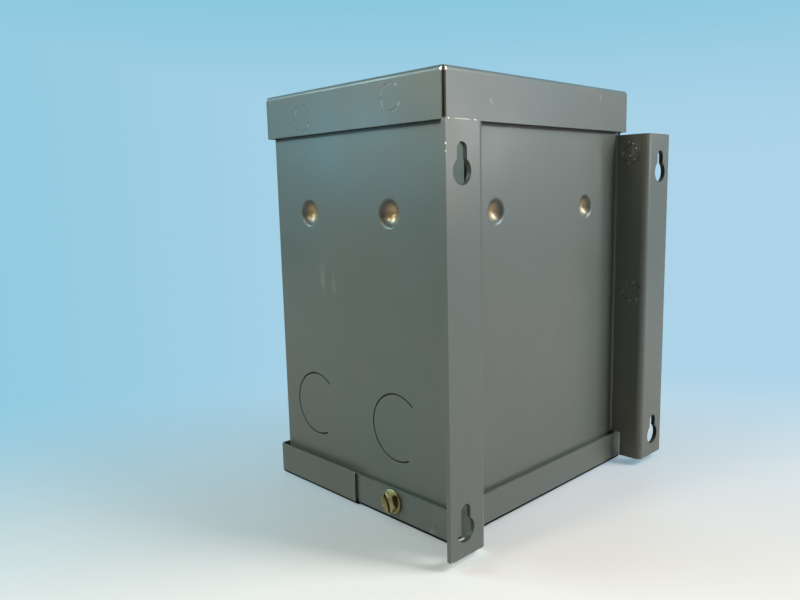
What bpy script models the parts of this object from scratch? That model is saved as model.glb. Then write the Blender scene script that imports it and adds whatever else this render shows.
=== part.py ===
"""Buck boost transformer: a small potted transformer in a folded sheet-steel case.

Metres, +Z up. The case stands on its bottom pan, its mounting flanges face +Y (the wall)
and its wiring cover faces -Y. The origin is the centre of the bounding box's bottom.
"""

import math

import bmesh
import bpy
from mathutils import Matrix, Vector

# Fits
FIT = 0.0003  # gap between pieces that touch, are welded or are pressed together
SCREW_CLEARANCE = 0.0003  # radial, round a screw's shank
SKIRT_CLEARANCE = 0.0012  # between the case and the skirts that stand round it
THROUGH = 0.004  # how far a cutter runs past the wall that it cuts

# Case
HEIGHT = 0.182
CASE_WIDTH = 0.1248
CASE_DEPTH = 0.1082
CASE_SHEET = 0.0012
CASE_BEND = 0.0008  # inner radius
WELD_LAP = 0.0095  # how far the side walls run back over the webs

# Mounting back: one sheet with the rear wall, two webs and two flanges
BACK_SHEET = 0.0020
BACK_BEND = 0.0010
STANDOFF = 0.0162  # mounting plane behind the rear wall
FLANGE_SPAN = 0.1584  # free edge to free edge
FLANGE_BOTTOM = 0.0036
FLANGE_TOP_DROP = 0.0206  # flange's top below the case's
PAN_NOTCH_GAP = 0.0026  # clearance of the webs round the bottom pan's rear skirt

# Keyholes in the flanges
KEYHOLE_EDGE = 0.0082  # centre to the flange's free edge
KEYHOLE_ENTRY_RADIUS = 0.0048
KEYHOLE_SLOT_WIDTH = 0.0052
KEYHOLE_DROP = 0.0074  # entry centre below the slot's seat
KEYHOLE_TOP_EDGE = 0.0102  # upper slot seat below the flange's top
KEYHOLE_BOTTOM_EDGE = 0.0178  # lower slot seat above the flange's bottom

# Top cap
CAP_SKIRT = 0.0191
CAP_BEND = 0.0010
CORNER_RELIEF = 0.0001  # open corners, past the sheet's thickness

# Bottom pan and wiring cover
PAN_SKIRT = 0.0144
PAN_BEND = 0.0010
SPLIT_Y = 0.0012  # where the pan's side skirts pass under the cover's
SPLIT_GAP = 0.0005
TONGUE_LAP = 0.0090
TONGUE_BOTTOM = 0.0030
COVER_SHEET = 0.0009
COVER_BEND = 0.0016
COVER_RISE = 0.0010  # the cover's skirt above the pan's
COVER_PANEL_WIDTH = 0.1160
COVER_PANEL_TOP = 0.0660
COVER_PANEL_CORNER = 0.0030
OPENING_WIDTH = 0.1000  # wiring opening in the front wall
OPENING_TOP = 0.0510

# Pressed dimples that key the potting
DIMPLE_RADIUS = 0.0065
DIMPLE_DEPTH = 0.0032
REAR_DIMPLE_RADIUS = 0.0057
REAR_DIMPLE_DEPTH = 0.0030
DIMPLE_DROP = 0.0532  # centres below the case's top
DIMPLE_SEGMENTS = 18
CAST_DIMPLE_SEGMENTS = 10  # in the potting, which nothing shows
SIDE_DIMPLE_FRONT_Y = -0.0285
SIDE_DIMPLE_REAR_Y = 0.0239
REAR_DIMPLE_X = 0.0325
FRONT_DIMPLE_X = 0.0325

# Knockouts in the side walls
KNOCKOUT_RADIUS = 0.0147
KNOCKOUT_SLIT = 0.0006
KNOCKOUT_Z = 0.0403
KNOCKOUT_FRONT_Y = -0.0284
KNOCKOUT_REAR_Y = 0.0252
KNOCKOUT_START_DEG = 48.0  # the slit starts here, measured from +Y towards +Z
KNOCKOUT_SWEEP_DEG = 250.0
KNOCKOUT_STEPS = 18

# Slotted hex washer screws
SCREW_RADIUS = 0.0023
SCREW_LENGTH = 0.0095
SCREW_POINT = 0.0020
SCREW_TIP_RADIUS = 0.0008
WASHER_RADIUS = 0.0053
WASHER_THICKNESS = 0.0008
WASHER_RIM = 0.0004
WASHER_TOP_RADIUS = 0.0035
HEX_FLATS = 0.0079
HEX_HEIGHT = 0.0022
HEX_TOP_RADIUS = 0.0037  # the corners are turned off outside it
HEX_CORNER_FALL = 0.0006
SLOT_WIDTH = 0.0013
SLOT_DEPTH = 0.0012
PAN_SCREW_Y = 0.0242
PAN_SCREW_Z = 0.0088
COVER_SCREW_Z = 0.0580
RIGHT_SLOT_DEG = 24
LEFT_SLOT_DEG = 70
COVER_SLOT_DEG = 30
GROUND_SLOT_DEG = 12

# Divider between the potted space and the wiring compartment
DIVIDER_SHEET = 0.0012
DIVIDER_Z = 0.0660
DIVIDER_FLANGE = 0.0080
DIVIDER_BEND = 0.0008
GROUND_SCREW_X = 0.0
GROUND_SCREW_Y = 0.0340
GROUND_SCREW_LENGTH = 0.0060

# Core, of E and I laminations
CORE_WIDTH = 0.0960
YOKE = 0.0160
TONGUE_WIDTH = 0.0320
CORE_STACK = 0.0400
CORE_BOLT_RADIUS = 0.0024
BOLT_FLATS = 0.0080
BOLT_HEAD = 0.0032
NUT_HEIGHT = 0.0032
BOLT_TAIL = 0.0015  # thread past the nut

# Feet that hold the core on the divider
FOOT_SHEET = 0.0020
FOOT_HEIGHT = 0.0160
FOOT_REACH = 0.0120
FOOT_BEND = 0.0010
FOOT_GAP_WIDTH = 0.0640  # middle of the foot is cut away for the leads

# Coil
FORMER_WALL = 0.0012
COIL_END_GAP = 0.0008
PRIMARY_BUILD = 0.0026
SECONDARY_BUILD = 0.0022
WRAP_BUILD = 0.0004

# Potting
FILL_GAP = 0.0140  # air under the case's top
CORE_COVER = 0.0202  # compound over the core

# Leads
LEAD_RADIUS = 0.0016
LEAD_SPACING = 0.0060
LEAD_PACK = 0.0024  # half spacing of the leads inside a grommet
LEAD_DROP = 0.0070  # the front leads turn this much lower than the rear ones
LEAD_STEP = 0.0115
LEAD_GUIDE = 0.0040  # straight run over the divider
LEAD_EXIT = 0.0060  # straight run under it
LEAD_TURN_Y = -0.0120
LEAD_TURN_Z = 0.0490
LEAD_UPPER_Z = 0.0430
LEAD_FOLD_Z = 0.0330
LEAD_LOWER_Z = 0.0220
LEAD_MIDDLE_Z = 0.0180
LEAD_END_Z = 0.0200
LEAD_REAR_GAP = 0.0135  # fold to the rear wall
LEAD_FRONT_GAP = 0.0140  # end to the front wall
LEAD_UPPER_RUN = 0.0180
LEAD_LOWER_RUN = 0.0160
GROMMET_X = 0.0180
GROMMET_BORE = 0.0068
GROMMET_WALL = 0.0014
GROMMET_LIP = 0.0018

# Derived from the sizes above
HALF_WIDTH = CASE_WIDTH / 2
HALF_DEPTH = CASE_DEPTH / 2
MOUNT_PLANE_Y = HALF_DEPTH + STANDOFF
SKIRT_OUT = SKIRT_CLEARANCE + CASE_SHEET
PAN_HALF_WIDTH = HALF_WIDTH + SKIRT_OUT
PAN_HALF_DEPTH = HALF_DEPTH + SKIRT_OUT
COVER_HALF_WIDTH = PAN_HALF_WIDTH + FIT + COVER_SHEET
COVER_FRONT_Y = -(HALF_DEPTH + FIT + COVER_SHEET)
SCREW_HEAD_OUT = FIT + WASHER_THICKNESS + HEX_HEIGHT
FRONT_EXTREME_Y = COVER_FRONT_Y - SCREW_HEAD_OUT
CENTRE_Y = -(MOUNT_PLANE_Y + FRONT_EXTREME_Y) / 2
WALL_BOTTOM = max(CASE_SHEET + PAN_BEND, COVER_SHEET + COVER_BEND) + FIT
WALL_TOP = HEIGHT - CASE_SHEET - FIT
WEB_OUTER_X = HALF_WIDTH - CASE_SHEET - FIT
WEB_INNER_X = WEB_OUTER_X - BACK_SHEET
FLANGE_TOP = HEIGHT - FLANGE_TOP_DROP
DIMPLE_Z = HEIGHT - DIMPLE_DROP
NOTCH_TOP = PAN_SKIRT + COVER_RISE
NOTCH_Y = PAN_HALF_DEPTH + PAN_NOTCH_GAP
INSIDE_X = HALF_WIDTH - CASE_SHEET - FIT
INSIDE_FRONT_Y = -(HALF_DEPTH - CASE_SHEET - FIT)
INSIDE_REAR_Y = HALF_DEPTH - BACK_SHEET - FIT
DIVIDER_TOP = DIVIDER_Z + DIVIDER_SHEET
CORE_BOTTOM = DIVIDER_TOP + FIT
FILL_TOP = HEIGHT - FILL_GAP
CORE_TOP = FILL_TOP - CORE_COVER
E_HEIGHT = CORE_TOP - YOKE - FIT - CORE_BOTTOM
CORE_FACE = CORE_STACK / 2
COIL_BOTTOM = CORE_BOTTOM + YOKE + COIL_END_GAP
COIL_TOP = CORE_BOTTOM + E_HEIGHT - COIL_END_GAP
GROMMET_NECK = GROMMET_BORE + GROMMET_WALL - FIT
GROMMET_RIM = GROMMET_NECK + GROMMET_LIP
GROMMET_THICK = DIVIDER_SHEET / 2 + FIT + GROMMET_WALL  # half its height
GROMMET_Y = -(CORE_FACE + FIT + FOOT_SHEET + FIT + GROMMET_RIM)


def clear_scene():
    """Removes what the scene holds."""
    for found in list(bpy.data.objects):
        bpy.data.objects.remove(found, do_unlink=True)


def material(name, colour, roughness, metallic=0.0):
    """Returns a Principled BSDF material."""
    made = bpy.data.materials.new(name)
    made.use_nodes = True
    shader = made.node_tree.nodes["Principled BSDF"]
    shader.inputs["Base Color"].default_value = (*colour, 1.0)
    shader.inputs["Roughness"].default_value = roughness
    shader.inputs["Metallic"].default_value = metallic
    made.diffuse_color = (*colour, 1.0)
    return made


def arc(centre, radius, start_deg, end_deg, steps):
    """Returns points on an arc, both ends included."""
    points = []
    for i in range(steps + 1):
        angle = math.radians(start_deg + (end_deg - start_deg) * i / steps)
        points.append((centre[0] + radius * math.cos(angle), centre[1] + radius * math.sin(angle)))
    return points


def rounded_rectangle(half_x, half_y, radius, steps=3):
    """Returns the outline of a rectangle with round corners, anticlockwise."""
    outline = []
    for turn, (sx, sy) in enumerate(((1, 1), (-1, 1), (-1, -1), (1, -1))):
        centre = (sx * (half_x - radius), sy * (half_y - radius))
        outline += arc(centre, radius, 90 * turn, 90 * turn + 90, steps)
    return outline


def folded_outline(path, sheet, bend, steps=4):
    """Returns the outline of a sheet that follows a path of straight runs with round bends.

    path is the sheet's middle line, as (u, v) corners. bend is the inner radius.
    """
    left, right = [], []
    middle = bend + sheet / 2
    points = [Vector(p) for p in path]
    for i, point in enumerate(points):
        if i in (0, len(points) - 1):
            other = points[1] if i == 0 else points[-2]
            along = (other - point).normalized() * (1 if i == 0 else -1)
            side = Vector((-along.y, along.x)) * (sheet / 2)
            left.append(point + side)
            right.append(point - side)
            continue
        into = (point - points[i - 1]).normalized()
        out = (points[i + 1] - point).normalized()
        turn = into.x * out.y - into.y * out.x
        half = math.acos(max(-1.0, min(1.0, into.dot(out)))) / 2
        sign = 1 if turn > 0 else -1
        back = middle * math.tan(half)
        normal = Vector((-into.y, into.x)) * sign
        centre = point - into * back + normal * middle
        start = math.atan2(-normal.y, -normal.x)
        for k in range(steps + 1):
            angle = start + sign * 2 * half * k / steps
            ray = Vector((math.cos(angle), math.sin(angle)))
            near = centre + ray * (middle - sheet / 2)
            far = centre + ray * (middle + sheet / 2)
            left.append(near if sign > 0 else far)
            right.append(far if sign > 0 else near)
    return [tuple(p) for p in left] + [tuple(p) for p in reversed(right)]


def prism(outline, low, high, axis="Z"):
    """Returns a mesh of an outline extruded along an axis.

    The outline is in (x, y) for Z, (x, z) for Y and (y, z) for X.
    """
    place = {
        "Z": lambda u, v, w: (u, v, w),
        "Y": lambda u, v, w: (u, w, v),
        "X": lambda u, v, w: (w, u, v),
    }[axis]
    mesh = bmesh.new()
    bottom = [mesh.verts.new(place(u, v, low)) for u, v in outline]
    top = [mesh.verts.new(place(u, v, high)) for u, v in outline]
    mesh.faces.new(bottom)
    mesh.faces.new(top)
    count = len(outline)
    for i in range(count):
        j = (i + 1) % count
        mesh.faces.new((bottom[i], bottom[j], top[j], top[i]))
    bmesh.ops.recalc_face_normals(mesh, faces=mesh.faces)
    return mesh


def block(low, high):
    """Returns the mesh of a box between two corners."""
    outline = [(low[0], low[1]), (high[0], low[1]), (high[0], high[1]), (low[0], high[1])]
    return prism(outline, low[2], high[2])


def ring_prism(inner_x, inner_y, build, corner, low, high):
    """Returns a rectangular ring with round corners, such as a winding."""
    inner = rounded_rectangle(inner_x, inner_y, corner)
    outer = rounded_rectangle(inner_x + build, inner_y + build, corner + build)
    mesh = bmesh.new()
    rows = []
    for outline, level in ((inner, low), (outer, low), (outer, high), (inner, high)):
        rows.append([mesh.verts.new((x, y, level)) for x, y in outline])
    count = len(inner)
    for row, following in zip(rows, rows[1:] + rows[:1]):
        for i in range(count):
            j = (i + 1) % count
            mesh.faces.new((row[i], row[j], following[j], following[i]))
    bmesh.ops.recalc_face_normals(mesh, faces=mesh.faces)
    return mesh


def turned(profile, segments=20, ring=False):
    """Returns a profile of (radius, height) points turned about Z.

    A ring joins its last point to its first. Otherwise both ends are closed with flat caps.
    """
    mesh = bmesh.new()
    rows = []
    for radius, height in profile:
        row = []
        for k in range(segments):
            angle = 2 * math.pi * k / segments
            row.append(mesh.verts.new((radius * math.cos(angle), radius * math.sin(angle), height)))
        rows.append(row)
    pairs = list(zip(rows, rows[1:]))
    if ring:
        pairs.append((rows[-1], rows[0]))
    else:
        mesh.faces.new(rows[0])
        mesh.faces.new(rows[-1])
    for row, following in pairs:
        for k in range(segments):
            j = (k + 1) % segments
            mesh.faces.new((row[k], row[j], following[j], following[k]))
    bmesh.ops.recalc_face_normals(mesh, faces=mesh.faces)
    return mesh


def pointing(direction, place):
    """Returns the matrix that turns +Z towards a direction and moves to a place."""
    turn = Vector((0, 0, 1)).rotation_difference(Vector(direction)).to_matrix().to_4x4()
    return Matrix.Translation(place) @ turn


class Assembly:
    """Holds the pieces under one empty at the case's centre line."""

    def __init__(self):
        self.centre = bpy.data.objects.new("case_centre", None)
        self.centre.location = (0, CENTRE_Y, 0)
        bpy.context.scene.collection.objects.link(self.centre)

    def place(self, name, mesh, matrix=None):
        """Links a mesh as an object under the centre."""
        if matrix is not None:
            mesh.transform(matrix)
        data = bpy.data.meshes.new(name)
        mesh.to_mesh(data)
        mesh.free()
        made = bpy.data.objects.new(name, data)
        made.parent = self.centre
        bpy.context.scene.collection.objects.link(made)
        return made

    def piece(self, name, mesh, finish, matrix=None):
        """Adds a piece with its material, round faces shaded smooth."""
        made = self.place(name, mesh, matrix)
        made.data.materials.append(finish)
        made.data.shade_smooth()
        made.data.set_sharp_from_angle(angle=math.radians(35))
        return made

    def combine(self, target, mesh, operation, matrix=None):
        """Cuts a helper mesh from a piece, or joins it to the piece."""
        count = len(target.modifiers)
        tool = self.place(f"{target.name}_{operation.lower()}_{count}", mesh, matrix)
        tool.hide_render = True
        tool.display_type = "WIRE"
        step = target.modifiers.new(f"{operation.lower()}_{count}", "BOOLEAN")
        step.operation = operation
        step.solver = "EXACT"
        step.object = tool

    def cut(self, target, mesh, matrix=None):
        """Cuts a mesh from a piece."""
        self.combine(target, mesh, "DIFFERENCE", matrix)

    def join(self, target, mesh, matrix=None):
        """Joins a mesh to a piece."""
        self.combine(target, mesh, "UNION", matrix)


def hexagon(flats):
    """Returns the outline of a hexagon across its flats."""
    return arc((0, 0), flats / math.sqrt(3), 0, 300, 5)


def round_cutter(radius, length, segments=16):
    """Returns a cylinder centred on the origin, along Z."""
    return turned([(radius, -length / 2), (radius, length / 2)], segments)


def keyhole_outline(x, seat_z):
    """Returns a keyhole: a slot whose round top is the seat, over a round entry."""
    half = KEYHOLE_SLOT_WIDTH / 2
    entry = (x, seat_z - KEYHOLE_DROP)
    meet = math.degrees(math.asin(half / KEYHOLE_ENTRY_RADIUS))
    outline = arc(entry, KEYHOLE_ENTRY_RADIUS, 90 + meet, 450 - meet, 14)
    outline += arc((x, seat_z), half, 0, 180, 6)
    return outline


def keyhole_seats():
    """Returns (x, z) of each keyhole's seat."""
    x = FLANGE_SPAN / 2 - KEYHOLE_EDGE
    top = FLANGE_TOP - KEYHOLE_TOP_EDGE
    bottom = FLANGE_BOTTOM + KEYHOLE_BOTTOM_EDGE
    return [(side * x, z) for side in (-1, 1) for z in (top, bottom)]


def knockout_outline(centre_y):
    """Returns the slit of a knockout, an open ring that leaves the disc on its tab."""
    centre = (centre_y, KNOCKOUT_Z)
    end = KNOCKOUT_START_DEG + KNOCKOUT_SWEEP_DEG
    outer = arc(centre, KNOCKOUT_RADIUS, KNOCKOUT_START_DEG, end, KNOCKOUT_STEPS)
    inner = arc(centre, KNOCKOUT_RADIUS - KNOCKOUT_SLIT, KNOCKOUT_START_DEG, end, KNOCKOUT_STEPS)
    return outer + inner[::-1]


def dimple_sphere(outward):
    """Returns the radius of a dimple's ball and its centre's height over the sheet."""
    rear = outward[1] > 0
    width, depth = (REAR_DIMPLE_RADIUS, REAR_DIMPLE_DEPTH) if rear else (DIMPLE_RADIUS, DIMPLE_DEPTH)
    radius = (width**2 + depth**2) / (2 * depth)
    return radius, radius - depth


def ball_cap(radius, centre_height, from_height, segments=DIMPLE_SEGMENTS, rings=4):
    """Returns the part of a ball below a height, as the end of a rounded punch."""
    start = math.degrees(math.asin((centre_height - from_height) / radius))
    profile = arc((0, 0), radius, -start, -82, rings)
    return turned([(u, v + centre_height) for u, v in profile], segments)


def press_dimple(assembly, sheet_piece, sheet, place, outward):
    """Presses a dimple into a sheet: a hollow outside and its bump inside."""
    radius, height = dimple_sphere(outward)
    matrix = pointing(outward, place)
    bump = ball_cap(radius + sheet, height, -sheet / 2)
    assembly.join(sheet_piece, bump, matrix)
    hollow = ball_cap(radius, height, height * 0.6)
    assembly.cut(sheet_piece, hollow, matrix)


def dimple_places():
    """Returns (place, outward direction) of every dimple."""
    found = []
    for side in (-1, 1):
        for y in (SIDE_DIMPLE_FRONT_Y, SIDE_DIMPLE_REAR_Y):
            found.append(((side * HALF_WIDTH, y, DIMPLE_Z), (side, 0, 0)))
        found.append(((side * REAR_DIMPLE_X, HALF_DEPTH, DIMPLE_Z), (0, 1, 0)))
        found.append(((side * FRONT_DIMPLE_X, -HALF_DEPTH, DIMPLE_Z), (0, -1, 0)))
    return found


def case_wrap(assembly, paint):
    """The front and both side walls, one sheet folded to a U."""
    side = HALF_WIDTH - CASE_SHEET / 2
    front = -(HALF_DEPTH - CASE_SHEET / 2)
    rear = HALF_DEPTH + WELD_LAP
    path = [(side, rear), (side, front), (-side, front), (-side, rear)]
    outline = folded_outline(path, CASE_SHEET, CASE_BEND)
    wrap = assembly.piece("case_wrap", prism(outline, WALL_BOTTOM, WALL_TOP), paint)
    wide = HALF_WIDTH + THROUGH
    far = rear + THROUGH
    assembly.cut(wrap, block((-wide, HALF_DEPTH, FLANGE_TOP), (wide, far, HEIGHT)))
    assembly.cut(wrap, block((-wide, HALF_DEPTH, -THROUGH), (wide, far, NOTCH_TOP)))
    opening = OPENING_WIDTH / 2
    assembly.cut(
        wrap,
        block((-opening, front - THROUGH, -THROUGH), (opening, front + THROUGH, OPENING_TOP)),
    )
    for place, outward in dimple_places():
        if outward[1] <= 0:
            press_dimple(assembly, wrap, CASE_SHEET, place, outward)
    for sign in (-1, 1):
        low, high = sorted((sign * (HALF_WIDTH + THROUGH), sign * (HALF_WIDTH - THROUGH)))
        for y in (KNOCKOUT_FRONT_Y, KNOCKOUT_REAR_Y):
            assembly.cut(wrap, prism(knockout_outline(y), low, high, "X"))
        hole = round_cutter(SCREW_RADIUS + SCREW_CLEARANCE, 2 * THROUGH)
        place = (sign * HALF_WIDTH, PAN_SCREW_Y, PAN_SCREW_Z)
        assembly.cut(wrap, hole, pointing((sign, 0, 0), place))
    hole = round_cutter(SCREW_RADIUS + SCREW_CLEARANCE, 2 * THROUGH)
    assembly.cut(wrap, hole, pointing((0, 1, 0), (0, front, COVER_SCREW_Z)))
    return wrap


def mounting_back(assembly, paint):
    """The rear wall, the webs and the mounting flanges, one folded sheet."""
    wall = HALF_DEPTH - BACK_SHEET / 2
    flange = MOUNT_PLANE_Y - BACK_SHEET / 2
    web = (WEB_INNER_X + WEB_OUTER_X) / 2
    edge = FLANGE_SPAN / 2
    path = [(-edge, flange), (-web, flange), (-web, wall), (web, wall), (web, flange), (edge, flange)]
    outline = folded_outline(path, BACK_SHEET, BACK_BEND)
    back = assembly.piece("mounting_back", prism(outline, WALL_BOTTOM, WALL_TOP), paint)
    wide = edge + THROUGH
    far = MOUNT_PLANE_Y + THROUGH
    assembly.cut(back, block((-wide, HALF_DEPTH, FLANGE_TOP), (wide, far, HEIGHT)))
    assembly.cut(back, block((-wide, HALF_DEPTH, -THROUGH), (wide, NOTCH_Y, NOTCH_TOP)))
    assembly.cut(back, block((-wide, HALF_DEPTH, -THROUGH), (wide, far, FLANGE_BOTTOM)))
    for x, z in keyhole_seats():
        low = flange - BACK_SHEET / 2 - THROUGH
        assembly.cut(back, prism(keyhole_outline(x, z), low, far, "Y"))
    for place, outward in dimple_places():
        if outward[1] > 0:
            press_dimple(assembly, back, BACK_SHEET, place, outward)
    return back


def folded_pan(half_x, half_y, sheet, bend, depth, floor_z, up):
    """Returns (outer, inner) blocks whose difference is a pan with its floor at floor_z.

    up is 1 for a pan whose skirts rise from its floor, and -1 for a cap.
    """
    outer_bend = bend + sheet
    meshes = []
    for inset, radius, start, end in (
        (0.0, outer_bend, 0.0, depth),
        (sheet, bend, sheet, depth + THROUGH),
    ):
        x, y = half_x - inset, half_y - inset
        low, high = sorted((floor_z + up * start, floor_z + up * end))
        mesh = block((-x, -y, low), (x, y, high))
        floor = floor_z + up * start
        edges = [e for e in mesh.edges if all(abs(v.co.z - floor) < FIT / 2 for v in e.verts)]
        bmesh.ops.bevel(mesh, geom=edges, offset=radius, segments=3, profile=0.5, affect="EDGES")
        meshes.append(mesh)
    return meshes


def corner_column(half_x, half_y, sheet, sign_x, sign_y, low, high):
    """Returns the column that is open where two skirts meet."""
    reach = sheet + CORNER_RELIEF
    xs = sorted((sign_x * (half_x - reach), sign_x * (half_x + THROUGH)))
    ys = sorted((sign_y * (half_y - reach), sign_y * (half_y + THROUGH)))
    return block((xs[0], ys[0], low), (xs[1], ys[1], high))


def top_cap(assembly, paint):
    """The cap: a top plate with four skirts and open corners."""
    outer, inner = folded_pan(
        PAN_HALF_WIDTH, PAN_HALF_DEPTH, CASE_SHEET, CAP_BEND, CAP_SKIRT, HEIGHT, -1
    )
    cap = assembly.piece("top_cap", outer, paint)
    assembly.cut(cap, inner)
    low = HEIGHT - CAP_SKIRT - THROUGH
    for sx in (-1, 1):
        for sy in (-1, 1):
            column = corner_column(
                PAN_HALF_WIDTH, PAN_HALF_DEPTH, CASE_SHEET, sx, sy, low, HEIGHT + THROUGH
            )
            assembly.cut(cap, column)
    return cap


def bottom_pan(assembly, paint):
    """The rear half of the bottom: a floor with a rear skirt and two side skirts."""
    outer, inner = folded_pan(
        PAN_HALF_WIDTH, PAN_HALF_DEPTH, CASE_SHEET, PAN_BEND, PAN_SKIRT, 0.0, 1
    )
    pan = assembly.piece("bottom_pan", outer, paint)
    assembly.cut(pan, inner)
    wide = PAN_HALF_WIDTH + THROUGH
    far = -(PAN_HALF_DEPTH + THROUGH)
    high = PAN_SKIRT + THROUGH
    assembly.cut(pan, block((-wide, far, -THROUGH), (wide, SPLIT_Y - TONGUE_LAP, high)))
    assembly.cut(pan, block((-wide, far - THROUGH, -THROUGH), (wide, SPLIT_Y + SPLIT_GAP, TONGUE_BOTTOM)))
    for sx in (-1, 1):
        column = corner_column(PAN_HALF_WIDTH, PAN_HALF_DEPTH, CASE_SHEET, sx, 1, -THROUGH, high)
        assembly.cut(pan, column)
        hole = round_cutter(SCREW_RADIUS + SCREW_CLEARANCE, 2 * THROUGH)
        place = (sx * PAN_HALF_WIDTH, PAN_SCREW_Y, PAN_SCREW_Z)
        assembly.cut(pan, hole, pointing((sx, 0, 0), place))
    return pan


def wiring_cover(assembly, paint):
    """The front half of the bottom with its skirts, and the panel over the wiring opening."""
    depth = PAN_SKIRT + COVER_RISE
    outer, inner = folded_pan(
        COVER_HALF_WIDTH, -COVER_FRONT_Y, COVER_SHEET, COVER_BEND, depth, 0.0, 1
    )
    cover = assembly.piece("wiring_cover", outer, paint)
    assembly.cut(cover, inner)
    wide = COVER_HALF_WIDTH + THROUGH
    far = -COVER_FRONT_Y + THROUGH
    assembly.cut(cover, block((-wide, SPLIT_Y, -THROUGH), (wide, far, depth + THROUGH)))
    for sx in (-1, 1):
        column = corner_column(
            COVER_HALF_WIDTH, -COVER_FRONT_Y, COVER_SHEET, sx, -1, -THROUGH, depth + THROUGH
        )
        assembly.cut(cover, column)
    half = COVER_PANEL_WIDTH / 2
    radius = COVER_PANEL_CORNER
    low = depth / 2
    outline = [(-half, low), (half, low)]
    outline += arc((half - radius, COVER_PANEL_TOP - radius), radius, 0, 90, 4)
    outline += arc((-half + radius, COVER_PANEL_TOP - radius), radius, 90, 180, 4)
    assembly.join(cover, prism(outline, COVER_FRONT_Y, COVER_FRONT_Y + COVER_SHEET, "Y"))
    hole = round_cutter(SCREW_RADIUS + SCREW_CLEARANCE, 2 * THROUGH)
    assembly.cut(cover, hole, pointing((0, 1, 0), (0, COVER_FRONT_Y, COVER_SCREW_Z)))
    return cover


def washer_head_screw(assembly, name, finish, seat, outward, length, slot_deg):
    """A slotted hex washer head screw whose washer seats on a sheet's face."""
    matrix = pointing(outward, seat)
    profile = [
        (SCREW_TIP_RADIUS, FIT - length),
        (SCREW_RADIUS, FIT - length + SCREW_POINT),
        (SCREW_RADIUS, FIT),
        (WASHER_RADIUS, FIT),
        (WASHER_RADIUS, FIT + WASHER_RIM),
        (WASHER_TOP_RADIUS, FIT + WASHER_THICKNESS),
    ]
    screw = assembly.piece(name, turned(profile, 24), finish, matrix)
    top = FIT + WASHER_THICKNESS + HEX_HEIGHT
    assembly.join(screw, prism(hexagon(HEX_FLATS), FIT + WASHER_RIM / 2, top), matrix)
    turn_hex_corners(assembly, screw, matrix, top)
    long = HEX_FLATS
    slot = block((-long, -SLOT_WIDTH / 2, top - SLOT_DEPTH), (long, SLOT_WIDTH / 2, top + THROUGH))
    assembly.cut(screw, slot, matrix @ Matrix.Rotation(math.radians(slot_deg), 4, "Z"))
    return screw


def turn_hex_corners(assembly, screw, matrix, top):
    """Turns the sharp corners off the top of a hex head."""
    flat, wide = HEX_TOP_RADIUS, HEX_FLATS
    low = top - HEX_CORNER_FALL * wide / flat
    profile = [(flat, top), (wide, low), (wide, top + THROUGH), (flat, top + THROUGH)]
    assembly.cut(screw, turned(profile, 24, ring=True), matrix)


def divider(assembly, steel):
    """The steel plate over the wiring compartment, with flanges turned down at its sides."""
    side = INSIDE_X - DIVIDER_SHEET / 2
    level = DIVIDER_Z + DIVIDER_SHEET / 2
    path = [(-side, level - DIVIDER_FLANGE), (-side, level), (side, level), (side, level - DIVIDER_FLANGE)]
    outline = folded_outline(path, DIVIDER_SHEET, DIVIDER_BEND)
    plate = assembly.piece("divider", prism(outline, INSIDE_FRONT_Y, INSIDE_REAR_Y, "Y"), steel)
    for sign in (-1, 1):
        hole = round_cutter(GROMMET_BORE + GROMMET_WALL, 2 * THROUGH)
        assembly.cut(plate, hole, Matrix.Translation((sign * GROMMET_X, GROMMET_Y, level)))
    hole = round_cutter(SCREW_RADIUS + SCREW_CLEARANCE, 2 * THROUGH)
    assembly.cut(plate, hole, Matrix.Translation((GROUND_SCREW_X, GROUND_SCREW_Y, level)))
    return plate


def grommet(assembly, name, rubber, sign):
    """The bushing that guards the leads where they pass the divider."""
    half = DIVIDER_SHEET / 2 + FIT
    profile = [
        (GROMMET_BORE, -GROMMET_THICK),
        (GROMMET_RIM, -GROMMET_THICK),
        (GROMMET_RIM, -half),
        (GROMMET_NECK, -half),
        (GROMMET_NECK, half),
        (GROMMET_RIM, half),
        (GROMMET_RIM, GROMMET_THICK),
        (GROMMET_BORE, GROMMET_THICK),
    ]
    place = Matrix.Translation((sign * GROMMET_X, GROMMET_Y, DIVIDER_Z + DIVIDER_SHEET / 2))
    assembly.piece(name, turned(profile, 16, ring=True), rubber, place)


def core_bolt_places():
    """Returns (x, z) of the core's four bolts."""
    x = CORE_WIDTH / 2 - YOKE / 2
    low = CORE_BOTTOM + YOKE / 2
    high = CORE_TOP - YOKE / 2
    return [(side * x, z) for side in (-1, 1) for z in (low, high)]


def core(assembly, iron):
    """The stack of E laminations, the stack of I laminations over it, and their bolt holes."""
    half = CORE_WIDTH / 2
    leg = YOKE
    tongue = TONGUE_WIDTH / 2
    base, top = CORE_BOTTOM, CORE_BOTTOM + E_HEIGHT
    inner = base + YOKE
    outline = [
        (-half, base), (half, base), (half, top), (half - leg, top), (half - leg, inner),
        (tongue, inner), (tongue, top), (-tongue, top), (-tongue, inner), (leg - half, inner),
        (leg - half, top), (-half, top),
    ]
    stacks = [assembly.piece("core_e_stack", prism(outline, -CORE_FACE, CORE_FACE, "Y"), iron)]
    bar = block((-half, -CORE_FACE, top + FIT), (half, CORE_FACE, CORE_TOP))
    stacks.append(assembly.piece("core_i_stack", bar, iron))
    for x, z in core_bolt_places():
        stack = stacks[0] if z < inner else stacks[1]
        hole = round_cutter(CORE_BOLT_RADIUS + SCREW_CLEARANCE, CORE_STACK + 2 * THROUGH)
        assembly.cut(stack, hole, pointing((0, 1, 0), (x, 0, z)))


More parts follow.
